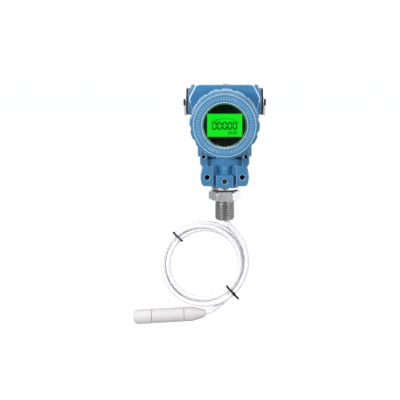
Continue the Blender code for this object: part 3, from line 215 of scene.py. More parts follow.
# Each row is the angle round the coil in degrees, the distance from its centre and the
# depth, both in millimetres. The angle falls as the cable is wound clockwise.
COIL_ROUTE = np.array(
    (
        (52, 49.6, -0.9), (36, 48.3, -1.8), (10, 46.4, -2.5), (-20, 45.2, -2.7), (-50, 45.2, -2.7),
        (-90, 45.9, -2.7), (-130, 47.0, -2.7), (-160, 46.6, -2.7), (-180, 45.8, -2.7), (-225, 45.0, -2.7),
        (-270, 42.8, -2.9), (-300, 40.8, -2.8), (-324, 39.4, -2.7), (-350, 38.4, -2.7), (-410, 38.6, -2.7),
        (-450, 39.2, -2.7), (-490, 40.4, -2.7), (-540, 40.2, -2.7), (-570, 39.4, -2.0), (-585, 38.9, -0.6),
        (-630, 38.4, 1.6), (-660, 38.5, 2.4), (-710, 39.4, 2.7), (-770, 39.8, 2.7), (-810, 41.6, 2.7),
        (-850, 43.2, 2.7), (-880, 44.0, 2.7), (-900, 44.3, 2.7), (-945, 44.9, 2.6), (-990, 44.5, 2.5),
        (-1020, 44.4, 2.4), (-1044, 44.6, 2.7), (-1070, 44.9, 2.7), (-1100, 45.1, 2.7), (-1130, 45.3, 2.5),
    )
)
TAIL_ROUTE = MM * np.array(
    ((1.4, 1.9, -111.5), (-4.1, 1.0, -116.8), (-10.0, 0.4, -121.6), (-16.0, 0.1, -125.4))
)


def smooth_route(points, spacing, passes):
    """Read a route every spacing along its length, then even it out: each pass moves a point
    half way to the middle of its two neighbours, with both ends held."""
    steps = np.linalg.norm(np.diff(points, axis=0), axis=1)
    along = np.concatenate(([0.0], np.cumsum(steps)))
    count = int(along[-1] / spacing)
    even = np.linspace(0.0, along[-1], count + 1)
    route = np.stack([np.interp(even, along, points[:, axis]) for axis in range(3)], axis=1)
    for _ in range(passes):
        route[1:-1] += 0.5 * (0.5 * (route[:-2] + route[2:]) - route[1:-1])
    return route


turns = np.arange(COIL_ROUTE[0, 0], COIL_ROUTE[-1, 0] - 1.0, -3.0)
reach = np.interp(-turns, -COIL_ROUTE[:, 0], COIL_ROUTE[:, 1]) * MM
depth = np.interp(-turns, -COIL_ROUTE[:, 0], COIL_ROUTE[:, 2]) * MM
wound = COIL_CENTRE + np.stack(
    (reach * np.cos(np.radians(turns)), depth, reach * np.sin(np.radians(turns))), axis=1
)
probe_axis = -np.array((math.cos(PROBE_TILT), 0.0, math.sin(PROBE_TILT)))
into_nose = PROBE_TIP + SOCKET_DEPTH * probe_axis
cable_stops = np.concatenate((LEAD_ROUTE, wound, TAIL_ROUTE, PROBE_TIP[None], into_nose[None]))
cable_route = smooth_route(cable_stops, ROUTE_SPACING, ROUTE_PASSES)
cable_curve = bpy.data.curves.new("cable", "CURVE")
cable_curve.dimensions = "3D"
cable_curve.bevel_depth = CABLE_DIA / 2
cable_curve.bevel_resolution = 4
cable_curve.use_fill_caps = True
cable_line = cable_curve.splines.new("POLY")
cable_line.points.add(len(cable_route) - 1)
cable_line.points.foreach_set("co", np.hstack((cable_route, np.ones((len(cable_route), 1)))).ravel())
cable_line.use_smooth = True
cable = bpy.data.objects.new("cable", cable_curve)
bpy.context.scene.collection.objects.link(cable)


def new_material(name):
    """Start a material. It comes with its node tree, its shader and its object coordinates."""
    material = bpy.data.materials.new(name)
    material.use_nodes = True
    tree = material.node_tree
    where = add_node(tree, "TexCoord", {})
    return material, tree, tree.nodes["Principled BSDF"], where.outputs["Object"]


def noise(tree, where, scale, detail=2.0):
    """Cloudy noise with so many clouds to a metre."""
    return add_node(tree, "TexNoise", {"Vector": where, "Scale": scale, "Detail": detail}).outputs["Fac"]


def toned(tree, share, colour, low, high):
    """Vary a colour by a share, from a low multiple of itself to a high one."""
    ends = [(*[min(1.0, c * level) for c in colour], 1.0) for level in (low, high)]
    return mix_colours(tree, share, *ends)


def bumped(tree, height, strength, distance):
    """The normal of a surface that a height roughens."""
    inputs = {"Height": height, "Strength": strength, "Distance": distance}
    return add_node(tree, "Bump", inputs).outputs["Normal"]


def white_plastic(name, colour, roughness, mottle, grain):
    """PTFE: waxy white, a little see-through, with faint cloudy patches and a fine bump."""
    material, tree, shader, where = new_material(name)
    feed(tree, shader, {
        "Base Color": toned(tree, noise(tree, where, mottle, 3.0), colour, 0.94, 1.0),
        "Roughness": roughness,
        "Subsurface Weight": 0.25,
        "Subsurface Radius": (0.0012, 0.0011, 0.0010),
        "Specular IOR Level": 0.35,
        "Normal": bumped(tree, noise(tree, where, grain, 4.0), 0.15, 0.0002),
    })
    return material


cable_white = white_plastic("cable_ptfe", (0.91, 0.90, 0.93), 0.36, 60.0, 900.0)
cable_curve.materials.append(cable_white)
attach(cable, "root")
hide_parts("cable_lead", "cable_coil", "cable_tail")

# Ties: two thin black plastic-covered wires, each bent round the bundle of turns. The lower
# one's twisted ends stick out past the outer turn.
TIE_DIA = 0.0016
TIE_DROOP = 0.17
TIE_INNER = 0.0350
TIE_OUTER = 0.0484
TIE_HALF_DEPTH = 0.0062
TIE_OVERLAP = 0.004


def skin(name, grid, wrap_rows=False, wrap_columns=False):
    """Make a mesh of a grid of points, rows by columns by 3, with a quad between each four
    neighbours. Doubled points at seams and poles are merged and the faces turned outwards."""
    rows, columns = grid.shape[:2]
    index = np.arange(rows * columns).reshape(rows, columns)
    if wrap_rows:
        index = np.vstack((index, index[:1]))
    if wrap_columns:
        index = np.hstack((index, index[:, :1]))
    corners = (index[:-1, :-1], index[1:, :-1], index[1:, 1:], index[:-1, 1:])
    quads = np.stack(corners, axis=-1).reshape(-1, 4)
    mesh = bpy.data.meshes.new(name)
    mesh.from_pydata(grid.reshape(-1, 3).tolist(), [], quads.tolist())
    merged = bmesh.new()
    merged.from_mesh(mesh)
    bmesh.ops.remove_doubles(merged, verts=merged.verts, dist=0.000002)
    bmesh.ops.recalc_face_normals(merged, faces=merged.faces)
    merged.to_mesh(mesh)
    merged.free()
    mesh.shade_smooth()
    piece = bpy.data.objects.new(name, mesh)
    bpy.context.scene.collection.objects.link(piece)
    return piece


def wire_round(points, diameter, sides=10, closed=False):
    """Carry a circle along a route: at each point it stands square to the route's direction.
    An open route ends in two rings drawn in to a point."""
    if closed:
        ahead = np.roll(points, -1, axis=0) - np.roll(points, 1, axis=0)
    else:
        ahead = np.gradient(points, axis=0)
    ahead /= np.linalg.norm(ahead, axis=1, keepdims=True)
    side = np.cross(ahead, (0.31, 0.52, 0.79))
    side /= np.linalg.norm(side, axis=1, keepdims=True)
    other = np.cross(ahead, side)
    angle = np.linspace(0.0, math.tau, sides, endpoint=False)
    ring = np.cos(angle)[None, :, None] * side[:, None] + np.sin(angle)[None, :, None] * other[:, None]
    grid = points[:, None] + ring * diameter / 2
    if not closed:
        first = np.repeat(points[:1, None], sides, axis=1)
        last = np.repeat(points[-1:, None], sides, axis=1)
        grid = np.concatenate((first, grid, last))
    return grid


def absorb(piece, others):
    """Move the meshes of other objects into a piece."""
    whole = bmesh.new()
    whole.from_mesh(piece.data)
    for other in others:
        whole.from_mesh(other.data)
        bpy.data.objects.remove(other)
    whole.to_mesh(piece.data)
    whole.free()
    return piece


black_wire, tree, shader, where = new_material("tie_black")
wire_noise = noise(tree, where, 1500.0)
wire_tint = mix_colours(tree, wire_noise, (0.001, 0.001, 0.001, 1.0), (0.004, 0.004, 0.005, 1.0))
feed(tree, shader, {"Base Color": wire_tint, "Roughness": 0.65, "Specular IOR Level": 0.05})


def tie_loop(name, angle, tail):
    """A flat loop through the coil's centre, which droops a little to the rear: the radius and
    the depth run round a box with round corners, the eighth root of 1 over the sum of the
    cosine's and the sine's eighth powers. The tail is how far the twisted ends stand out."""
    turn = np.linspace(0.0, math.tau, 96, endpoint=False)
    c, s = np.cos(turn), np.sin(turn)
    square = (np.abs(c) ** 8 + np.abs(s) ** 8) ** -0.125
    along = np.array((math.cos(angle), 0.0, math.sin(angle)))
    across = np.array((0.0, 1.0, -TIE_DROOP))
    loop = COIL_CENTRE + along * (TIE_INNER + TIE_OUTER) / 2
    loop = loop + np.outer(c * square * (TIE_OUTER - TIE_INNER) / 2, along)
    loop = loop + np.outer(s * square * TIE_HALF_DEPTH, across)
    piece = skin(name, wire_round(loop, TIE_DIA, closed=True), wrap_rows=True, wrap_columns=True)
    ends = []
    if tail > 0.0:
        way = np.linspace(0.0, 1.0, 36)
        twist = way * math.tau * 2.5
        swing = TIE_DIA * 0.5 * np.minimum(1.0, 4.0 * (1.0 - way))
        out = np.outer(TIE_OUTER - TIE_OVERLAP + way * (tail + TIE_OVERLAP), along)
        out = COIL_CENTRE + out + across * -(TIE_HALF_DEPTH + 0.0004)
        for phase in (0.0, math.pi):
            line = out + np.outer(np.cos(twist + phase) * swing, np.cross(along, across))
            line = line + np.outer(np.sin(twist + phase) * swing, across)
            ends.append(skin(name + "_end", wire_round(line, TIE_DIA * 0.8), wrap_columns=True))
    piece = absorb(piece, ends)
    piece.data.materials.append(black_wire)
    return piece


tie_upper = tie_loop("wire_tie_upper", math.radians(134.5), 0.0)
tie_lower = tie_loop("wire_tie_lower", math.radians(-47.0), 0.0062)
for tie, solid in ((tie_upper, "tie_upper"), (tie_lower, "tie_lower")):
    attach(tie, "root")
    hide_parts(solid)

# Probe: three pieces of white PTFE turned and screwed together: a tapered nose moulded on
# the cable, the body with the pressure cell, and a domed cap. Their outlines are radii and
# ways along the probe from its tip.
DOME_POINTS = 14


def eased(outline, radius, steps=4):
    """Round the corners of an open outline: each corner becomes a curve between a point
    before it and one after it, at most radius away and 45% of the edge."""
    outline = np.asarray(outline, dtype=float)
    before, corner, after = outline[:-2], outline[1:-1], outline[2:]
    back, ahead = before - corner, after - corner
    back_long = np.linalg.norm(back, axis=1, keepdims=True)
    ahead_long = np.linalg.norm(ahead, axis=1, keepdims=True)
    size = np.broadcast_to(np.asarray(radius, dtype=float).reshape(-1, 1), back_long.shape)
    start = corner + back / back_long * np.minimum(size, 0.45 * back_long)
    end = corner + ahead / ahead_long * np.minimum(size, 0.45 * ahead_long)
    t = np.linspace(0.0, 1.0, steps + 1)[None, :, None]
    bend = (1 - t) ** 2 * start[:, None] + 2 * t * (1 - t) * corner[:, None] + t**2 * end[:, None]
    return np.vstack((outline[:1], bend.reshape(-1, 2), outline[-1:]))


def lathed(name, outline, centre, axis, steps=96, up=(0.0, 0.0, 1.0)):
    """Turn an outline of (radius, height) round an axis through a centre point."""
    axis = np.asarray(axis, dtype=float)
    axis = axis / np.linalg.norm(axis)
    side = np.cross(axis, up)
    side /= np.linalg.norm(side)
    other = np.cross(axis, side)
    angle = np.linspace(0.0, math.tau, steps, endpoint=False)
    round_way = np.cos(angle)[:, None] * side + np.sin(angle)[:, None] * other
    grid = np.asarray(centre) + outline[:, None, :1] * round_way[None] + outline[:, None, 1:] * axis
    return skin(name, grid, wrap_columns=True)


nose_outline = eased(
    (
        (0.0, 0.0057), (0.0029, 0.0057), (0.0029, 0.0), (0.0036, 0.0), (0.0042, 0.0006), (0.0060, 0.0065),
        (0.0075, 0.0125), (0.0080, 0.0150), (0.0080, 0.0226), (0.0077, 0.0228), (0.0, 0.0228),
    ),
    0.0010,
)
body_outline = eased(
    (
        (0.0, 0.0231), (0.0077, 0.0231), (0.0080, 0.0234),
        (0.0080, 0.0581), (0.0075, 0.0586), (0.0, 0.0586),
    ),
    0.0004,
)
cap_dome = np.radians(np.linspace(0.0, 90.0, DOME_POINTS))
cap_outline = np.vstack(
    (
        eased(((0.0, 0.0589), (0.0075, 0.0589), (0.0081, 0.0596), (0.0081, 0.0660)), 0.0006),
        np.stack((0.0081 - 0.0036 * (1 - np.cos(cap_dome)), 0.0733 + 0.0056 * np.sin(cap_dome)), axis=1),
        ((0.0, 0.0789),),
    )
)
probe_white = white_plastic("probe_ptfe", (0.69, 0.67, 0.67), 0.46, 90.0, 700.0)
cap_white = white_plastic("probe_cap_ptfe", (0.72, 0.70, 0.705), 0.46, 90.0, 700.0)
for name, outline, material in (
    ("probe_nose", nose_outline, probe_white),
    ("probe_body", body_outline, probe_white),
    ("probe_cap", cap_outline, cap_white),
):
    piece = lathed(name + "_ptfe", outline, PROBE_TIP, probe_axis)
    piece.data.materials.append(material)
    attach(piece, "root")
    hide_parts(name)

# Process fitting: one bar of stainless steel. The hexagon is milled and chamfered on both
# ends, the thread below it is cut with a relief, and the spigot goes up into the head. Its
# measures are in millimetres.
HEX_FLATS = 15.0
HEX_HEIGHT = 10.4
HEX_TURN = 1.5
HEX_STEP = 60.0
HEX_CORNER = 17.4
CHAMFER_FROM = 14.1
CHAMFER_DROP = 1.9
BORE_RADIUS = 4.6
SPIGOT_TOP = 26.8
RELIEF_RADIUS = 9.25
THREAD_RADIUS = 10.48
THREAD_PITCH = 1.81
THREAD_DEPTH = 0.60
THREAD_FOOT = -19.9
FITTING_FOOT = -21.7


def turned_steel(name, colour, roughness, ring_scale, ring_depth):
    """Stainless steel: tool rings across the axis, faint cloudy stains and a fine grain."""
    material, tree, shader, where = new_material(name)
    stretch = add_node(tree, "Mapping", {"Vector": where, "Scale": (60.0, 60.0, ring_scale)})
    rings = noise(tree, stretch.outputs["Vector"], 1.0, 5.0)
    feed(tree, shader, {
        "Metallic": 1.0,
        "Base Color": toned(tree, rings, colour, 0.86, 1.10),
        "Roughness": ranged(tree, noise(tree, where, 140.0), roughness * 0.8, roughness * 1.25),
        "Normal": bumped(tree, rings, 0.3, ring_depth),
    })
    return material


def face_centres(piece):
    """The middles of a piece's faces in millimetres, as rows of x, y and z."""
    centres = np.empty(len(piece.data.polygons) * 3)
    piece.data.polygons.foreach_get("center", centres)
    return centres.reshape(-1, 3).T / MM


def paint(piece, choice, *materials):
    """Give a piece its materials, and each face the number of its own."""
    for material in materials:
        piece.data.materials.append(material)
    piece.data.polygons.foreach_set("material_index", choice.astype(np.int32))


around = np.radians(np.arange(0.0, 360.0, 1.0))
from_flat = np.mod(np.degrees(around) - HEX_TURN + HEX_STEP, HEX_STEP) - HEX_STEP / 2
hexagon = HEX_FLATS / np.cos(np.radians(from_flat))
cone = np.linspace(0.0, 1.0, 9)[1:-1]
upper_rows = (
    (BORE_RADIUS, SPIGOT_TOP), (10.8, SPIGOT_TOP), (11.7, 26.5), (12.0, 25.8), (12.0, 11.75),
    (11.85, 11.7), (11.1, 11.7), (11.1, 10.45), (11.2, HEX_HEIGHT), (12.8, HEX_HEIGHT),
    (CHAMFER_FROM, HEX_HEIGHT),
)
cone_reach = HEX_CORNER - CHAMFER_FROM
down = np.stack((CHAMFER_FROM + cone * cone_reach, HEX_HEIGHT - cone * CHAMFER_DROP), axis=1)
flats = np.stack((np.full(6, HEX_CORNER), np.linspace(HEX_HEIGHT - CHAMFER_DROP, CHAMFER_DROP, 6)), axis=1)
up = np.stack((CHAMFER_FROM + cone[::-1] * cone_reach, cone[::-1] * CHAMFER_DROP), axis=1)
relief = eased(
    (
        (CHAMFER_FROM, 0.0), (RELIEF_RADIUS, 0.0), (RELIEF_RADIUS, -2.3),
        (9.80, -2.4), (THREAD_RADIUS - 0.05, -3.05),
    ),
    0.25,
)
thread_z = np.arange(-3.10, THREAD_FOOT, -0.14)
thread_rows = np.stack((np.full_like(thread_z, THREAD_RADIUS), thread_z), axis=1)
end_rows = eased(
    (
        (THREAD_RADIUS - 0.05, THREAD_FOOT), (8.8, FITTING_FOOT),
        (BORE_RADIUS, FITTING_FOOT), (BORE_RADIUS, SPIGOT_TOP),
    ),
    0.3,
)
fitting_rows = np.vstack((upper_rows, down, flats, up, relief, thread_rows, end_rows))
row_radius, row_z = fitting_rows[:, :1], fitting_rows[:, 1:]
on_hexagon = (row_z > -0.01) & (row_z < HEX_HEIGHT + 0.01)
radius = np.where(on_hexagon, np.minimum(row_radius, hexagon[None]), row_radius)
# The thread's flanks: a triangle wave along the axis, moved on by one pitch in a turn, which
# fades out at the relief and at the chamfered end.
phase = np.mod(row_z / THREAD_PITCH + around[None] / math.tau, 1.0)
flank = np.clip(np.abs(phase - 0.5) * 2.0 * 1.25, 0.12, 1.0)
fade = np.clip((-2.9 - row_z) / 0.8, 0.0, 1.0) * np.clip((row_z + 20.7) / 1.2, 0.0, 1.0)
on_thread = (row_z < -3.0) & (row_z > -20.2) & (row_radius > 9.4)
radius = radius - np.where(on_thread, THREAD_DEPTH * fade * flank, 0.0)
fitting_sides = (radius * np.cos(around), radius * np.sin(around), row_z)
fitting_grid = np.stack(np.broadcast_arrays(*fitting_sides), axis=-1)
fitting = skin("process_fitting_steel", fitting_grid * MM, wrap_columns=True)
# The thread is coloured darker than the milled faces: partly its cut steel is darker, and partly
# it is painted shade for the light its turns block from each other. The groove bottoms are
# painted darker still, as painted shade.
face_x, face_y, face_z = face_centres(fitting)
groove_painted_shade = np.hypot(face_x, face_y) < THREAD_RADIUS - 0.55 * THREAD_DEPTH
groove_painted_shade = groove_painted_shade & (face_z < -3.0) & (face_z > -19.8)
paint(
    fitting,
    np.where(groove_painted_shade, 2, face_z < -0.3),
    turned_steel("fitting_steel", (0.78, 0.78, 0.79), 0.38, 2600.0, 0.00002),
    turned_steel("thread_steel_and_painted_shade", (0.30, 0.30, 0.30), 0.30, 1500.0, 0.00001),
    turned_steel("thread_groove_painted_shade", (0.15, 0.15, 0.15), 0.40, 1500.0, 0.00001),
)
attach(fitting, "root")
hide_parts("process_fitting")

# Lock ring, neck seal and cable bush: a bright turned ring under the head, a black rubber
# ring pressed below it, and a PTFE sleeve that guides the cable out of the fitting.
ring_steel = turned_steel("lock_ring_steel", (0.72, 0.72, 0.72), 0.22, 1800.0, 0.00002)
ring_outline = eased(
    ((0.0123, 0.0143), (0.0143, 0.0143), (0.0143, 0.0120), (0.0123, 0.0120), (0.0123, 0.0143)), 0.0004
)
lock_ring = lathed("lock_ring_steel", ring_outline, (0, 0, 0), (0, 0, 1), steps=128, up=(1, 0, 0))
lock_ring.data.materials.append(ring_steel)
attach(lock_ring, "root")
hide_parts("lock_ring")


def matte_plastic(name, colour, roughness, grain, specular=0.5):
    """Rubber, resin or moulded plastic: a fine matte grain with dusty lighter spots."""
    material, tree, shader, where = new_material(name)
    speck = noise(tree, where, grain, 4.0)
    feed(tree, shader, {
        "Base Color": toned(tree, speck, colour, 0.7, 1.5),
        "Roughness": roughness,
        "Specular IOR Level": specular,
        "Normal": bumped(tree, speck, 0.35, 0.0001),
    })
    return material


def dress(material, *names):
    """Give solids that are shown as they are a material."""
    for name in names:
        node[name].data.materials.clear()
        node[name].data.materials.append(material)


seal_rubber = matte_plastic("seal_rubber", (0.018, 0.018, 0.019), 0.72, 1400.0)
dress(seal_rubber, "neck_seal", "front_seal", "rear_seal", "plug_gasket_left", "plug_gasket_right")
dress(white_plastic("bush_ptfe", (0.84, 0.83, 0.83), 0.40, 200.0, 900.0), "cable_bush")

# Housing: an aluminium die casting with a blue enamel. Barrel, wedge-sided top block, two
# entry bosses, skirt, ears, flared stem and collar run into each other with cast fillets.
# Its measures are in millimetres, and z counts from the hexagon's lower face. A hole is given
# by its middle's way to the side, its height over the collar's foot and its radius.
CELL = 0.82
AXIS_Z = 85.5
ENTRY_Z = 105.8
COLLAR_Z = 14.6
EAR_HOLES = (18.6, 12.0, 2.75)
SMALL_HOLES = (22.1, 34.2, 1.95)
SCREW_HOLE = (0.0, 7.6, 2.6)
# The flared stem's half width and half depth over the height.
STEM_WIDE = np.array(
    (
        (9.0, 6.8), (19.5, 6.8), (21.5, 7.6), (23.2, 9.4), (24.6, 12.4),
        (25.5, 16.5), (29.8, 16.5), (34.8, 6.8), (37.8, 6.8),
    )
)
STEM_DEEP = np.array(((9.0, 15.0), (19.5, 15.0), (25.5, 13.8), (29.8, 13.0), (34.8, 12.2)))


def box_distance(x, y, z, low, high, edge):
    """Signed distance to a box with round edges: the length of the overshoot past its faces
    outside, and minus the way to the nearest face inside."""
    reach = [abs(v - (a + b) / 2) - (b - a) / 2 + edge for v, a, b in zip((x, y, z), low, high)]
    outside = np.sqrt(sum(np.maximum(v, 0.0) ** 2 for v in reach))
    return outside + np.minimum(np.maximum(np.maximum(reach[0], reach[1]), reach[2]), 0.0) - edge


def rimmed(sides, ends, edge):
    """Signed distance to a form between its sides and its ends, with a round rim."""
    sides, ends = sides + edge, ends + edge
    outside = np.sqrt(np.maximum(sides, 0.0) ** 2 + np.maximum(ends, 0.0) ** 2)
    return outside + np.minimum(np.maximum(sides, ends), 0.0) - edge


def drum_distance(across, along, radius, low, high, edge):
    """Signed distance to a round bar with round rims, from the distance to its axis and the
    place along it."""
    return rimmed(across - radius, abs(along - (low + high) / 2) - (high - low) / 2, edge)


def hole_distance(side, height, hole):
    """Signed distance to a round hole without ends."""
    return np.sqrt((side - hole[0]) ** 2 + (height - hole[1]) ** 2) - hole[2]


def outline_distance(x, z, outline):
    """Signed distance to a closed outline: the nearest edge's distance, negative where a line
    to one side crosses the outline an odd number of times."""
    nearest = np.full(np.broadcast(x, z).shape, 1e9)
    inside = np.zeros(nearest.shape, dtype=bool)
    for (ax, az), (bx, bz) in zip(outline, outline[1:] + outline[:1]):
        ex, ez = bx - ax, bz - az
        share = np.clip(((x - ax) * ex + (z - az) * ez) / (ex * ex + ez * ez), 0.0, 1.0)
        nearest = np.minimum(nearest, (x - ax - share * ex) ** 2 + (z - az - share * ez) ** 2)
        if ez != 0.0:
            crosses = ((az > z) != (bz > z)) & (x < ax + (z - az) / ez * ex)
            inside ^= crosses
    return np.where(inside, -np.sqrt(nearest), np.sqrt(nearest))


def slab_distance(flat, y, half_depth, edge):
    """Signed distance to an outline carried to half_depth on both sides of y = 0."""
    return rimmed(flat, abs(y) - half_depth, edge)


def melt(a, b, fillet):
    """Join two distances. Where they differ by less than the fillet, the smaller is lowered
    by a quarter of the square of what is left of it."""
    near = np.maximum(fillet - abs(a - b), 0.0) / fillet
    return np.minimum(a, b) - near * near * fillet * 0.25


def carve(solid, tool, fillet):
    """Cut a tool out of a solid, with its rim rounded by the fillet."""
    return -melt(-solid, tool, fillet)


def bow(centre_x, centre_z, radius, start, end, count):
    """Points of an arc between two angles in degrees."""
    angle = np.radians(np.linspace(start, end, count + 1))
    return list(zip(centre_x + radius * np.cos(angle), centre_z + radius * np.sin(angle)))


lower_ear = [(12.0, 24.6), (12.0, 2.3)] + bow(20.5, 6.8, 4.5, -90, -12, 8)
lower_ear += [(25.7, 10.5), (25.8, 12.5), (25.6, 15.0), (25.0, 17.5), (24.0, 20.2)]
lower_ear += bow(21.2, 20.4, 3.2, 10, 75, 6)
upper_ear = [(18.3, 44.0), (18.3, 23.1)] + bow(21.5, 27.7, 4.6, -90, 0, 10) + [(26.1, 44.0)]


def casting_distance(x, y, z):
    """Signed distance to the housing: the joined forms of the casting, less its chambers,
    bores and holes."""
    across = np.sqrt(x**2 + (z - AXIS_Z) ** 2)
    round_stem = np.sqrt(x**2 + y**2)
    round_entry = np.sqrt(y**2 + (z - ENTRY_Z) ** 2)
    side, depth, height = abs(x), abs(y), z - COLLAR_Z
    barrel = drum_distance(across, y, 34.5, -26.0, 26.0, 0.7)
    top = (z - 124.9 + 3.0 * (y + 22.0) / 44.0) / 1.0023
    facet = ((side - 29.7) * 118.4 + (depth - 22.0) * 75.5 + (z - 124.9) * 60.0) / 152.7
    upper_side = ((side - 34.8) * 14.8 + (z - 124.9) * 2.4) / 14.99
    lower_side = ((side - 31.0) * 24.6 - (z - AXIS_Z) * 6.2) / 25.37
    crown = np.maximum(AXIS_Z - z, depth - 22.0)
    for plane in (top, facet, upper_side, lower_side):
        crown = carve(crown, -plane, 0.9)
    boss = drum_distance(round_entry, x, 14.3, -38.5, 38.5, 0.7)
    solid = melt(melt(barrel, crown, 1.6), boss, 1.6)
    skirt = box_distance(x, y, height, (-28.5, -15.0, 33.8), (28.5, 15.0, 59.8), 1.8)
    solid = melt(solid, skirt, 1.2)
    round_column = drum_distance(round_stem, height, 10.5, 7.5, 42.0, 0.5)
    bar = box_distance(x, y, height, (-19.5, -12.8, 23.8), (19.5, 12.8, 31.8), 2.6)
    wide = np.interp(height, *STEM_WIDE.T)
    deep = np.interp(height, *STEM_DEEP.T)
    stem = (np.sqrt((x / wide) ** 2 + (y / deep) ** 2) - 1.0) * wide * 0.8
    stem = np.maximum(stem, np.maximum(9.0 - height, height - 37.8))
    neck = melt(melt(round_column, bar, 2.0), stem, 2.4)
    solid = melt(solid, neck, 2.6)
    collar = drum_distance(round_stem, height, 15.8, 0.0, 15.0, 1.0)
    solid = melt(solid, collar, 1.2)
    ears = slab_distance(outline_distance(side, height, lower_ear), y, 17.0, 1.1)
    inner_web = (depth - 15.9) * 0.68 + (14.0 - side) * 0.73
    outer_web = (depth - 15.9) * 0.51 + (side - 14.0) * 0.86
    webs = np.maximum(np.maximum(inner_web, outer_web), abs(height - 13.3) - 10.2)
    solid = melt(solid, melt(ears, webs, 1.0), 1.0)
    small_ears = slab_distance(outline_distance(side, height, upper_ear), y, 17.5, 1.1)
    solid = melt(solid, small_ears, 1.0)
    block = box_distance(x, y, height, (-9.2, -18.0, 1.1), (9.2, -4.5, 14.3), 1.2)
    solid = melt(solid, block, 0.8)
    solid = np.minimum(solid, drum_distance(across, y, 31.7, -40.0, 38.0, 0.5))
    rear_chamber = drum_distance(across, y, 28.0, -12.0, 60.0, 0.3)
    front_chamber = drum_distance(across, y, 28.0, -60.0, -16.0, 0.3)
    solid = carve(solid, np.minimum(front_chamber, rear_chamber), 0.5)
    screw = np.sqrt(x**2 + (height - SCREW_HOLE[1]) ** 2)
    cuts = drum_distance(np.sqrt(x**2 + (z - AXIS_Z + 20.0) ** 2), y, 4.0, -20.0, -8.0, 0.1)
    for cut in (
        drum_distance(round_entry, 0.0 - side, 9.6, -60.0, -15.5, 0.1),
        drum_distance(round_stem, height, 12.3, -5.0, 12.5, 0.1),
        drum_distance(round_stem, height, 5.0, 5.0, 46.0, 0.1),
        drum_distance(screw, y, SCREW_HOLE[2], -30.0, -10.0, 0.1),
        np.maximum(hole_distance(side, height, EAR_HOLES), 6.0 - depth),
        np.maximum(hole_distance(side, height, SMALL_HOLES), y + 9.5),
    ):
        cuts = np.minimum(cuts, cut)
    return carve(solid, cuts, 0.4)


CELL_CORNERS = np.array([(i, j, k) for i in (0, 1) for j in (0, 1) for k in (0, 1)])
CORNER_PAIRS = [(a, b) for a in range(8) for b in range(a + 1, 8)]
CELL_EDGES = [(a, b) for a, b in CORNER_PAIRS if abs(CELL_CORNERS[a] - CELL_CORNERS[b]).sum() == 1]


def cast_skin(name, distance, low, high, cell):
    """Make the surface where a distance is nought. The distance is worked out on a lattice.
    Each lattice cell that the surface crosses gets a point, the middle of the crossings of
    its edges, which then moves down the distance's slope onto the surface. Each lattice edge
    that the surface crosses gets a quad of the four cells around it."""
    ticks = [np.arange(a, b + cell, cell) for a, b in zip(low, high)]
    field = distance(ticks[0][:, None, None], ticks[1][None, :, None], ticks[2][None, None, :])
    solid = field < 0.0
    count = np.zeros([n - 1 for n in field.shape], dtype=np.int8)
    for i, j, k in CELL_CORNERS:
        count += solid[i : i + count.shape[0], j : j + count.shape[1], k : k + count.shape[2]]
    cells = np.argwhere((count > 0) & (count < 8))
    corner = cells[:, None] + CELL_CORNERS[None]
    value = field[corner[..., 0], corner[..., 1], corner[..., 2]]
    total = np.zeros((len(cells), 3))
    hits = np.zeros((len(cells), 1))
    for a, b in CELL_EDGES:
        crossed = ((value[:, a] < 0.0) != (value[:, b] < 0.0))[:, None]
        gap = value[:, a] - value[:, b]
        share = (value[:, a] / np.where(gap == 0.0, 1.0, gap))[:, None]
        spot = CELL_CORNERS[a] + share * (CELL_CORNERS[b] - CELL_CORNERS[a])
        total += np.where(crossed, spot, 0.0)
        hits += crossed
    points = (cells + total / hits) * cell + np.array([t[0] for t in ticks])
    step = cell * 0.05
    for _ in range(3):
        here = distance(*points.T)
        ahead = [distance(*(points + step * way).T) for way in np.eye(3)]
        slope = (np.stack(ahead, axis=1) - here[:, None]) / step
        length = np.maximum(np.linalg.norm(slope, axis=1, keepdims=True), 0.3)
        points -= np.clip(here[:, None] / length, -0.5 * cell, 0.5 * cell) * slope / length
    lookup = np.full(count.shape, -1, dtype=np.int64)
    lookup[tuple(cells.T)] = np.arange(len(cells))
    quads = []
    for axis in range(3):
        crossing = solid != np.roll(solid, -1, axis=axis)
        crossing[tuple(slice(-1, None) if n == axis else slice(None) for n in range(3))] = False
        spots = np.argwhere(crossing)
        one, two = np.eye(3, dtype=int)[(axis + 1) % 3], np.eye(3, dtype=int)[(axis + 2) % 3]
        steps_back = (one + two, two, 0 * one, one)
        ring = np.stack([lookup[tuple((spots - back).T)] for back in steps_back], axis=1)
        outward = solid[tuple(spots.T)]
        quads.append(np.where(outward[:, None], ring, ring[:, ::-1]))
    mesh = bpy.data.meshes.new(name)
    mesh.from_pydata((points * MM).tolist(), [], np.concatenate(quads).tolist())
    mesh.shade_smooth()
    piece = bpy.data.objects.new(name, mesh)
    bpy.context.scene.collection.objects.link(piece)
    return piece


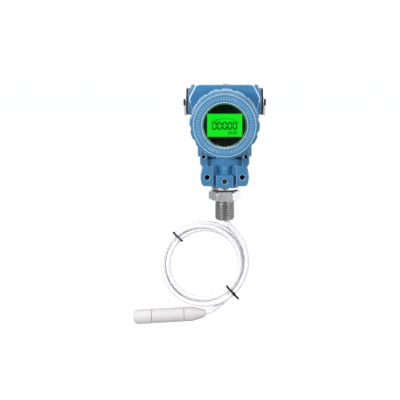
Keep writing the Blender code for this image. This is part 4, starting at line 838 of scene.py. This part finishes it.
def mark_edges(mesh, highlight_weight):
    """Write how sharply the surface bends outwards at each vertex, per millimetre. Along each
    edge the bend is twice the neighbour's depth below the vertex's tangent plane, over the
    edge's length squared. The vertex keeps the largest, times a weight for how strongly the
    painted edge highlight shows there, which is a function of its x, y and z in millimetres."""
    count = len(mesh.vertices)
    place = np.empty(count * 3)
    mesh.vertices.foreach_get("co", place)
    place = place.reshape(-1, 3) * 1000.0
    normal = np.empty(count * 3)
    mesh.vertex_normals.foreach_get("vector", normal)
    normal = normal.reshape(-1, 3)
    ends = np.empty(len(mesh.edges) * 2, dtype=np.int64)
    mesh.edges.foreach_get("vertices", ends)
    ends = ends.reshape(-1, 2)
    bend = np.zeros(count)
    for here, there in ((ends[:, 0], ends[:, 1]), (ends[:, 1], ends[:, 0])):
        way = place[there] - place[here]
        below = -np.einsum("ij,ij->i", way, normal[here])
        np.maximum.at(bend, here, 2.0 * below / np.einsum("ij,ij->i", way, way))
    bend *= highlight_weight(*place.T)
    # The bend drives the painted edge highlight in the enamel.
    layer = mesh.attributes.new("bend", "FLOAT", "POINT")
    layer.data.foreach_set("value", np.clip(bend, 0.0, 4.0))


def blue_enamel(name, colour, painted_highlight_colour, highlight_from, highlight_to):
    """Baked enamel on a casting: a slightly uneven coat whose depth shows as soft patches of
    tone, a pebbled skin, and a painted highlight: paler lines along edges that bend sharply."""
    material, tree, shader, where = new_material(name)
    patch = noise(tree, where, 70.0, 4.0)
    sharp = add_node(tree, "Attribute", {})
    sharp.attribute_name = "bend"
    painted_edge_highlight = ranged(tree, sharp.outputs["Fac"], 0.0, 1.0, highlight_from, highlight_to)
    coat = toned(tree, patch, colour, 0.88, 1.10)
    feed(tree, shader, {
        # Painted highlight: the base colour turns pale where the surface bends sharply outwards.
        "Base Color": mix_colours(tree, painted_edge_highlight, coat, (*painted_highlight_colour, 1.0)),
        "Roughness": ranged(tree, patch, 0.22, 0.32),
        "Specular IOR Level": 0.40,
        "Normal": bumped(tree, noise(tree, where, 700.0, 3.0), 0.20, 0.00012),
    })
    return material


housing_blue = blue_enamel("housing_enamel", (0.048, 0.218, 0.425), (0.80, 0.88, 0.94), 0.72, 2.20)
housing = cast_skin("housing_casting", casting_distance, (-40.5, -41.5, 13.5), (40.5, 39.5, 126.2), CELL)
# Painted highlight along the casting's sharp edges, three times as strong at the front corners of the top
# block.
mark_edges(housing.data, lambda x, y, z: np.where((z > 106.0) & (y < -20.0) & (abs(x) > 27.5), 3.0, 1.0))
# The walls of the tapped holes carry no enamel. They are coloured near black, as painted shade for the dark
# inside of the holes.
spot_x, spot_y, spot_z = face_centres(housing)
spot_side, spot_up = abs(spot_x), spot_z - COLLAR_Z
hole_painted_shade = hole_distance(spot_side, spot_up, EAR_HOLES) < 0.05
hole_painted_shade |= (hole_distance(spot_side, spot_up, SMALL_HOLES) < 0.05) & (spot_y < 0.0)
hole_painted_shade |= (hole_distance(spot_side, spot_up, SCREW_HOLE) < 0.05) & (spot_y < -12.2)
paint(housing, hole_painted_shade, housing_blue, matte_plastic("tapped_hole_painted_shade", (0.010, 0.011, 0.013), 0.45, 900.0))
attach(housing, "head")
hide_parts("housing")

# Front cover: a die-cast screwed ring with sixteen hand grips round its flange and a round
# window. The lettering of such covers is left off: a band of short low ribs, all alike,
# stands up in its sunk face.
GRIPS = 16
GRIP_FIRST = 7.0
GRIP_CENTRE = 39.0
GRIP_RADIUS = 4.0
GRIP_FLOOR = 34.9
GRIP_STEPS = 720
FACE_FRONT = 57.0
FACE_SUNK = 0.30
WINDOW_RADIUS = 21.5
RIBS = 60
RIB_SHARE = 0.80
RIB_MIDDLE = 27.6
RIB_HALF = 1.9
cover_blue = blue_enamel("cover_enamel", (0.054, 0.218, 0.400), (0.66, 0.78, 0.86), 1.00, 3.20)


def gripped_ring(outline):
    """Turn an outline round the cover axis, with its radius held inside sixteen round grooves
    whose centres lie outside the flange: at an angle a from a groove's middle the limit is
    c cos a - sqrt(g^2 - (c sin a)^2), for a centre c from the axis and a groove radius g."""
    angle = np.linspace(0.0, math.tau, GRIP_STEPS, endpoint=False)
    pitch = math.tau / GRIPS
    off = np.mod(angle - math.radians(GRIP_FIRST) + pitch / 2, pitch) - pitch / 2
    inside = GRIP_RADIUS**2 - (GRIP_CENTRE * np.sin(off)) ** 2
    limit = np.where(inside > 0.0, GRIP_CENTRE * np.cos(off) - np.sqrt(np.maximum(inside, 0.0)), 99.0)
    for way in (1, -1):
        limit = np.minimum(limit, np.roll(limit, way) + 0.12)
    grooved = np.minimum(outline[:, :1], np.maximum(limit[None], GRIP_FLOOR))
    grip_part = (outline[:, :1] > GRIP_FLOOR) & (outline[:, 1:] > 26.0) & (outline[:, 1:] < 43.0)
    radius = np.where(grip_part, grooved, outline[:, :1])
    along = np.broadcast_to(outline[:, 1:], radius.shape)
    return np.stack((radius * np.cos(angle), along, radius * np.sin(angle)), axis=-1)


window_outline = (
    (32.0, 40.8), (27.3, 40.9), (27.3, 52.7), (WINDOW_RADIUS, 52.7),
    (WINDOW_RADIUS, 54.6), (23.2, FACE_FRONT), (23.7, FACE_FRONT),
)
rim_outline = (
    (31.4, FACE_FRONT), (32.4, 56.0), (33.4, 44.6), (34.0, 42.5), (34.8, 42.5), (36.2, 41.5),
    (36.2, 27.0), (35.6, 26.3), (34.7, 26.3), (34.7, 29.0), (32.0, 29.0), (32.0, 40.8),
)
face_rows = [(r, FACE_FRONT) for r in np.arange(23.8, 31.35, 0.25)]
front_outline = np.vstack((eased(window_outline, 0.40), face_rows, eased(rim_outline, 0.40)))
cover_grid = gripped_ring(front_outline)
face_radius = front_outline[:, :1]
face_angle = np.linspace(0.0, math.tau, GRIP_STEPS, endpoint=False)[None]
rib = np.clip(np.sin(face_angle * RIBS) * 2.5, 0.0, 1.0)
rib = rib * np.clip((RIB_HALF - abs(face_radius - RIB_MIDDLE)) / 0.3, 0.0, 1.0)
on_face = (front_outline[:, 1:] > FACE_FRONT - 0.1) & (face_radius > 23.7) & (face_radius < 31.4)
cover_grid[..., 1] -= np.where(on_face, FACE_SUNK * (1.0 - RIB_SHARE * rib), 0.0)
cover_grid = cover_grid * (1.0, -1.0, 1.0) + (0.0, 0.0, AXIS_Z)
front_cover = skin("front_cover_casting", cover_grid * MM, wrap_columns=True)


def cover_highlight_weight(x, y, z):
    """Weight of the painted edge highlight: strongest on the upper part of the flange's rim,
    where light from above catches it, and weakest on the face between its edges.
    """
    reach = np.hypot(x, z - AXIS_Z)
    on_flange = (y > -43.0) & (reach > 34.3)
    inside_rim = (y < -56.0) & (reach > 23.9) & (reach < 31.2)
    return 1.0 + 1.6 * on_flange * np.clip((z - AXIS_Z) / 20.0, 0.0, 1.0) - 0.15 * inside_rim


mark_edges(front_cover.data, cover_highlight_weight)
bevel_x, bevel_y, bevel_z = face_centres(front_cover)
bevel_reach = np.hypot(bevel_x, bevel_z - AXIS_Z)
on_bevel = (bevel_reach > WINDOW_RADIUS - 0.1) & (bevel_reach < WINDOW_RADIUS + 1.0) & (bevel_y < -54.0)
bevel_metal = turned_steel("window_bevel_metal", (0.50, 0.60, 0.68), 0.22, 60.0, 0.00001)
paint(front_cover, on_bevel, cover_blue, bevel_metal)
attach(front_cover, "front_cover")
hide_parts("front_cover")

# Window glass and its ring: a flat pane of hardened glass, held from behind by a black
# screwed ring.
window_glass, tree, shader, where = new_material("window_glass")
feed(tree, shader, {
    "Base Color": (0.93, 0.98, 0.96, 1.0),
    "Transmission Weight": 1.0,
    "IOR": 1.45,
    "Specular IOR Level": 0.25,
    "Roughness": ranged(tree, noise(tree, where, 40.0), 0.0, 0.03),
})
pane_outline = eased(((0.0, 52.4), (27.0, 52.4), (27.0, 47.7), (0.0, 47.7)), 0.4) * MM
pane = lathed("window_pane", pane_outline, (0, 0, AXIS_Z * MM), (0, -1, 0), steps=160)
pane.data.materials.append(window_glass)
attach(pane, "front_cover")
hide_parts("front_glass")
dress(matte_plastic("retainer_black", (0.020, 0.020, 0.022), 0.40, 900.0), "glass_retainer")

# Rear cover: the same screwed ring closed by a flat dished face.
rear_outline = eased(
    (
        (0.0, 46.5), (23.0, 46.5), (28.0, 45.3), (34.3, 42.5), (35.7, 42.2), (36.2, 41.3), (36.2, 27.0),
        (35.6, 26.3), (34.7, 26.3), (34.7, 29.0), (32.0, 29.0), (32.0, 39.0), (28.0, 39.0), (26.5, 42.5),
        (0.0, 42.5),
    ),
    0.6,
)
rear_grid = gripped_ring(rear_outline) + (0.0, 0.0, AXIS_Z)
rear_cover = skin("rear_cover_casting", rear_grid * MM, wrap_columns=True)
# Painted highlight: pale lines along its sharply bent edges, alike all round.
mark_edges(rear_cover.data, lambda x, y, z: 1.0)
rear_cover.data.materials.append(cover_blue)
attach(rear_cover, "rear_cover")
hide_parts("rear_cover")

# Entry plugs: round bright steel plugs screwed in over flat gaskets, each with a slot across
# its face and a black bar in the slot.
PLUG_CELL = 0.36
plug_steel = turned_steel("plug_steel", (0.92, 0.92, 0.93), 0.36, 700.0, 0.00001)


def plug_distance(x, y, z):
    """Signed distance to a plug along +X: a head and a shank, less the slot across the head.
    Heights count from the entry axis."""
    across = np.sqrt(y**2 + z**2)
    head = drum_distance(across, x, 14.75, 40.2, 43.0, 0.7)
    shank = drum_distance(across, x, 9.3, 26.5, 42.0, 0.8)
    slot = box_distance(x, y, z, (40.9, -16.0, -3.5), (46.0, 16.0, 3.5), 0.15)
    return carve(np.minimum(head, shank), slot, 0.5)


for side, way in (("right", 1.0), ("left", -1.0)):
    plug = cast_skin(
        f"plug_{side}_steel",
        lambda x, y, z, way=way: plug_distance(x * way, y, z - ENTRY_Z),
        (24.0 if way > 0 else -44.3, -16.0, ENTRY_Z - 16.0),
        (44.3 if way > 0 else -24.0, 16.0, ENTRY_Z + 16.0),
        PLUG_CELL,
    )
    plug.data.materials.append(plug_steel)
    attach(plug, f"plug_{side}")
    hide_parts(f"plug_{side}")
bar_black = matte_plastic("plug_bar_black", (0.022, 0.022, 0.024), 0.42, 1200.0)
dress(bar_black, "plug_bar_left", "plug_bar_right")

# Set screw and terminal screws: small turned screws, the first of hardened steel with a
# hexagon socket, the others of brass with a slot.
dress(turned_steel("set_screw_steel", (0.34, 0.33, 0.32), 0.16, 900.0, 0.00001), "set_screw")
screw_brass = turned_steel("terminal_brass", (0.72, 0.50, 0.20), 0.28, 900.0, 0.00002)
dress(screw_brass, "terminal_screw_1", "terminal_screw_2", "terminal_screw_3")
dress(matte_plastic("terminal_black", (0.020, 0.020, 0.021), 0.50, 800.0), "terminal_block")

# Display: a potted module, a green board, a black moulded face with a window, and behind the
# window a liquid-crystal panel lit from behind in bright green.
dress(matte_plastic("bezel_black", (0.001, 0.005, 0.002), 0.60, 700.0, 0.10), "display_bezel")
dress(matte_plastic("potting_resin", (0.030, 0.030, 0.034), 0.35, 300.0), "electronics_module")
dress(matte_plastic("board_laminate", (0.015, 0.100, 0.040), 0.40, 400.0), "display_board")
lcd_lit, tree, shader, where = new_material("lcd_backlight")
lcd_glow = mix_colours(tree, noise(tree, where, 45.0), (0.0, 0.82, 0.005, 1.0), (0.0, 0.94, 0.010, 1.0))
feed(tree, shader, {
    "Base Color": (0.0, 0.06, 0.0, 1.0),
    "Roughness": 0.30,
    "Specular IOR Level": 0.10,
    "Emission Strength": 1.0,
    "Emission Color": lcd_glow,
})
dress(lcd_lit, "lcd_panel")

# Display marks: dark liquid-crystal segments just in front of the panel: five digits that
# read nought, a pointer arc over them with a tick at each end, and a unit below.
LCD_FRONT = -40.74
DIGITS = 5
DIGIT_LEFT = -12.0
DIGIT_PITCH = 5.15
DIGIT_WIDE = 3.4
DIGIT_TALL = 6.9
DIGIT_LOW = 80.6
SEGMENT = 1.35
SEGMENT_GAP = 0.42
ARC_X = 0.3
ARC_Z = 64.9
ARC_RADIUS = 26.5
UNIT_LOW = 74.9
UNIT_HIGH = 77.8


def mark_strip(line, width, depth=0.06):
    """Give a flat bar along a line of (x, z) points: two edges half a width to each side."""
    line = np.asarray(line, dtype=float)
    ahead = np.gradient(line, axis=0)
    ahead /= np.linalg.norm(ahead, axis=1, keepdims=True)
    side = np.stack((-ahead[:, 1], ahead[:, 0]), axis=1) * width / 2
    left, right = line + side, line - side
    near = np.full((len(line), 1), LCD_FRONT - depth)
    far = np.full((len(line), 1), LCD_FRONT)
    corners = ((left, near), (right, near), (right, far), (left, far))
    grid = np.stack([np.hstack((p[:, :1], y, p[:, 1:])) for p, y in corners], axis=1)
    first = np.repeat(grid[:1].mean(axis=1, keepdims=True), 4, axis=1)
    last = np.repeat(grid[-1:].mean(axis=1, keepdims=True), 4, axis=1)
    return np.concatenate((first, grid, last))


strips = []
for place in range(DIGITS):
    left = DIGIT_LEFT + place * DIGIT_PITCH
    right = left + DIGIT_WIDE
    low, high = DIGIT_LOW, DIGIT_LOW + DIGIT_TALL
    middle = (low + high) / 2
    gap = SEGMENT_GAP
    for z in (high, low):
        strips.append(mark_strip(((left + gap, z), (right - gap, z)), SEGMENT))
    for foot, head in ((middle, high), (low, middle)):
        for x in (left, right):
            strips.append(mark_strip(((x, foot + gap), (x, head - gap)), SEGMENT))
sweep = np.radians(np.linspace(118.0, 62.0, 25))
arc = np.stack((ARC_X + ARC_RADIUS * np.cos(sweep), ARC_Z + ARC_RADIUS * np.sin(sweep)), axis=1)
strips.append(mark_strip(arc, 0.34))
for line, width in (
    (((-13.9, 87.2), (-12.6, 89.2)), 0.40),
    (((14.5, 87.2), (13.2, 89.2)), 0.40),
    (((-8.9, 90.0), (-7.0, 90.0)), 0.80),
    (((-8.0, 90.0), (-7.4, 88.6)), 0.70),
):
    strips.append(mark_strip(line, width))
for foot in (3.6, 5.3, 7.0, 8.8, 10.5, 12.2):
    strips.append(mark_strip(((foot, UNIT_LOW), (foot, UNIT_HIGH)), 0.60))
for foot in (3.6, 8.8):
    strips.append(mark_strip(((foot - 0.3, UNIT_HIGH + 0.1), (foot + 3.7, UNIT_HIGH + 0.1)), 0.60))
marks = skin("display_marks", strips[0] * MM, wrap_columns=True)
absorb(marks, [skin("display_mark", strip * MM, wrap_columns=True) for strip in strips[1:]])
marks.data.materials.append(matte_plastic("mark_dark", (0.001, 0.016, 0.003), 0.6, 2000.0))
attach(marks, "head")
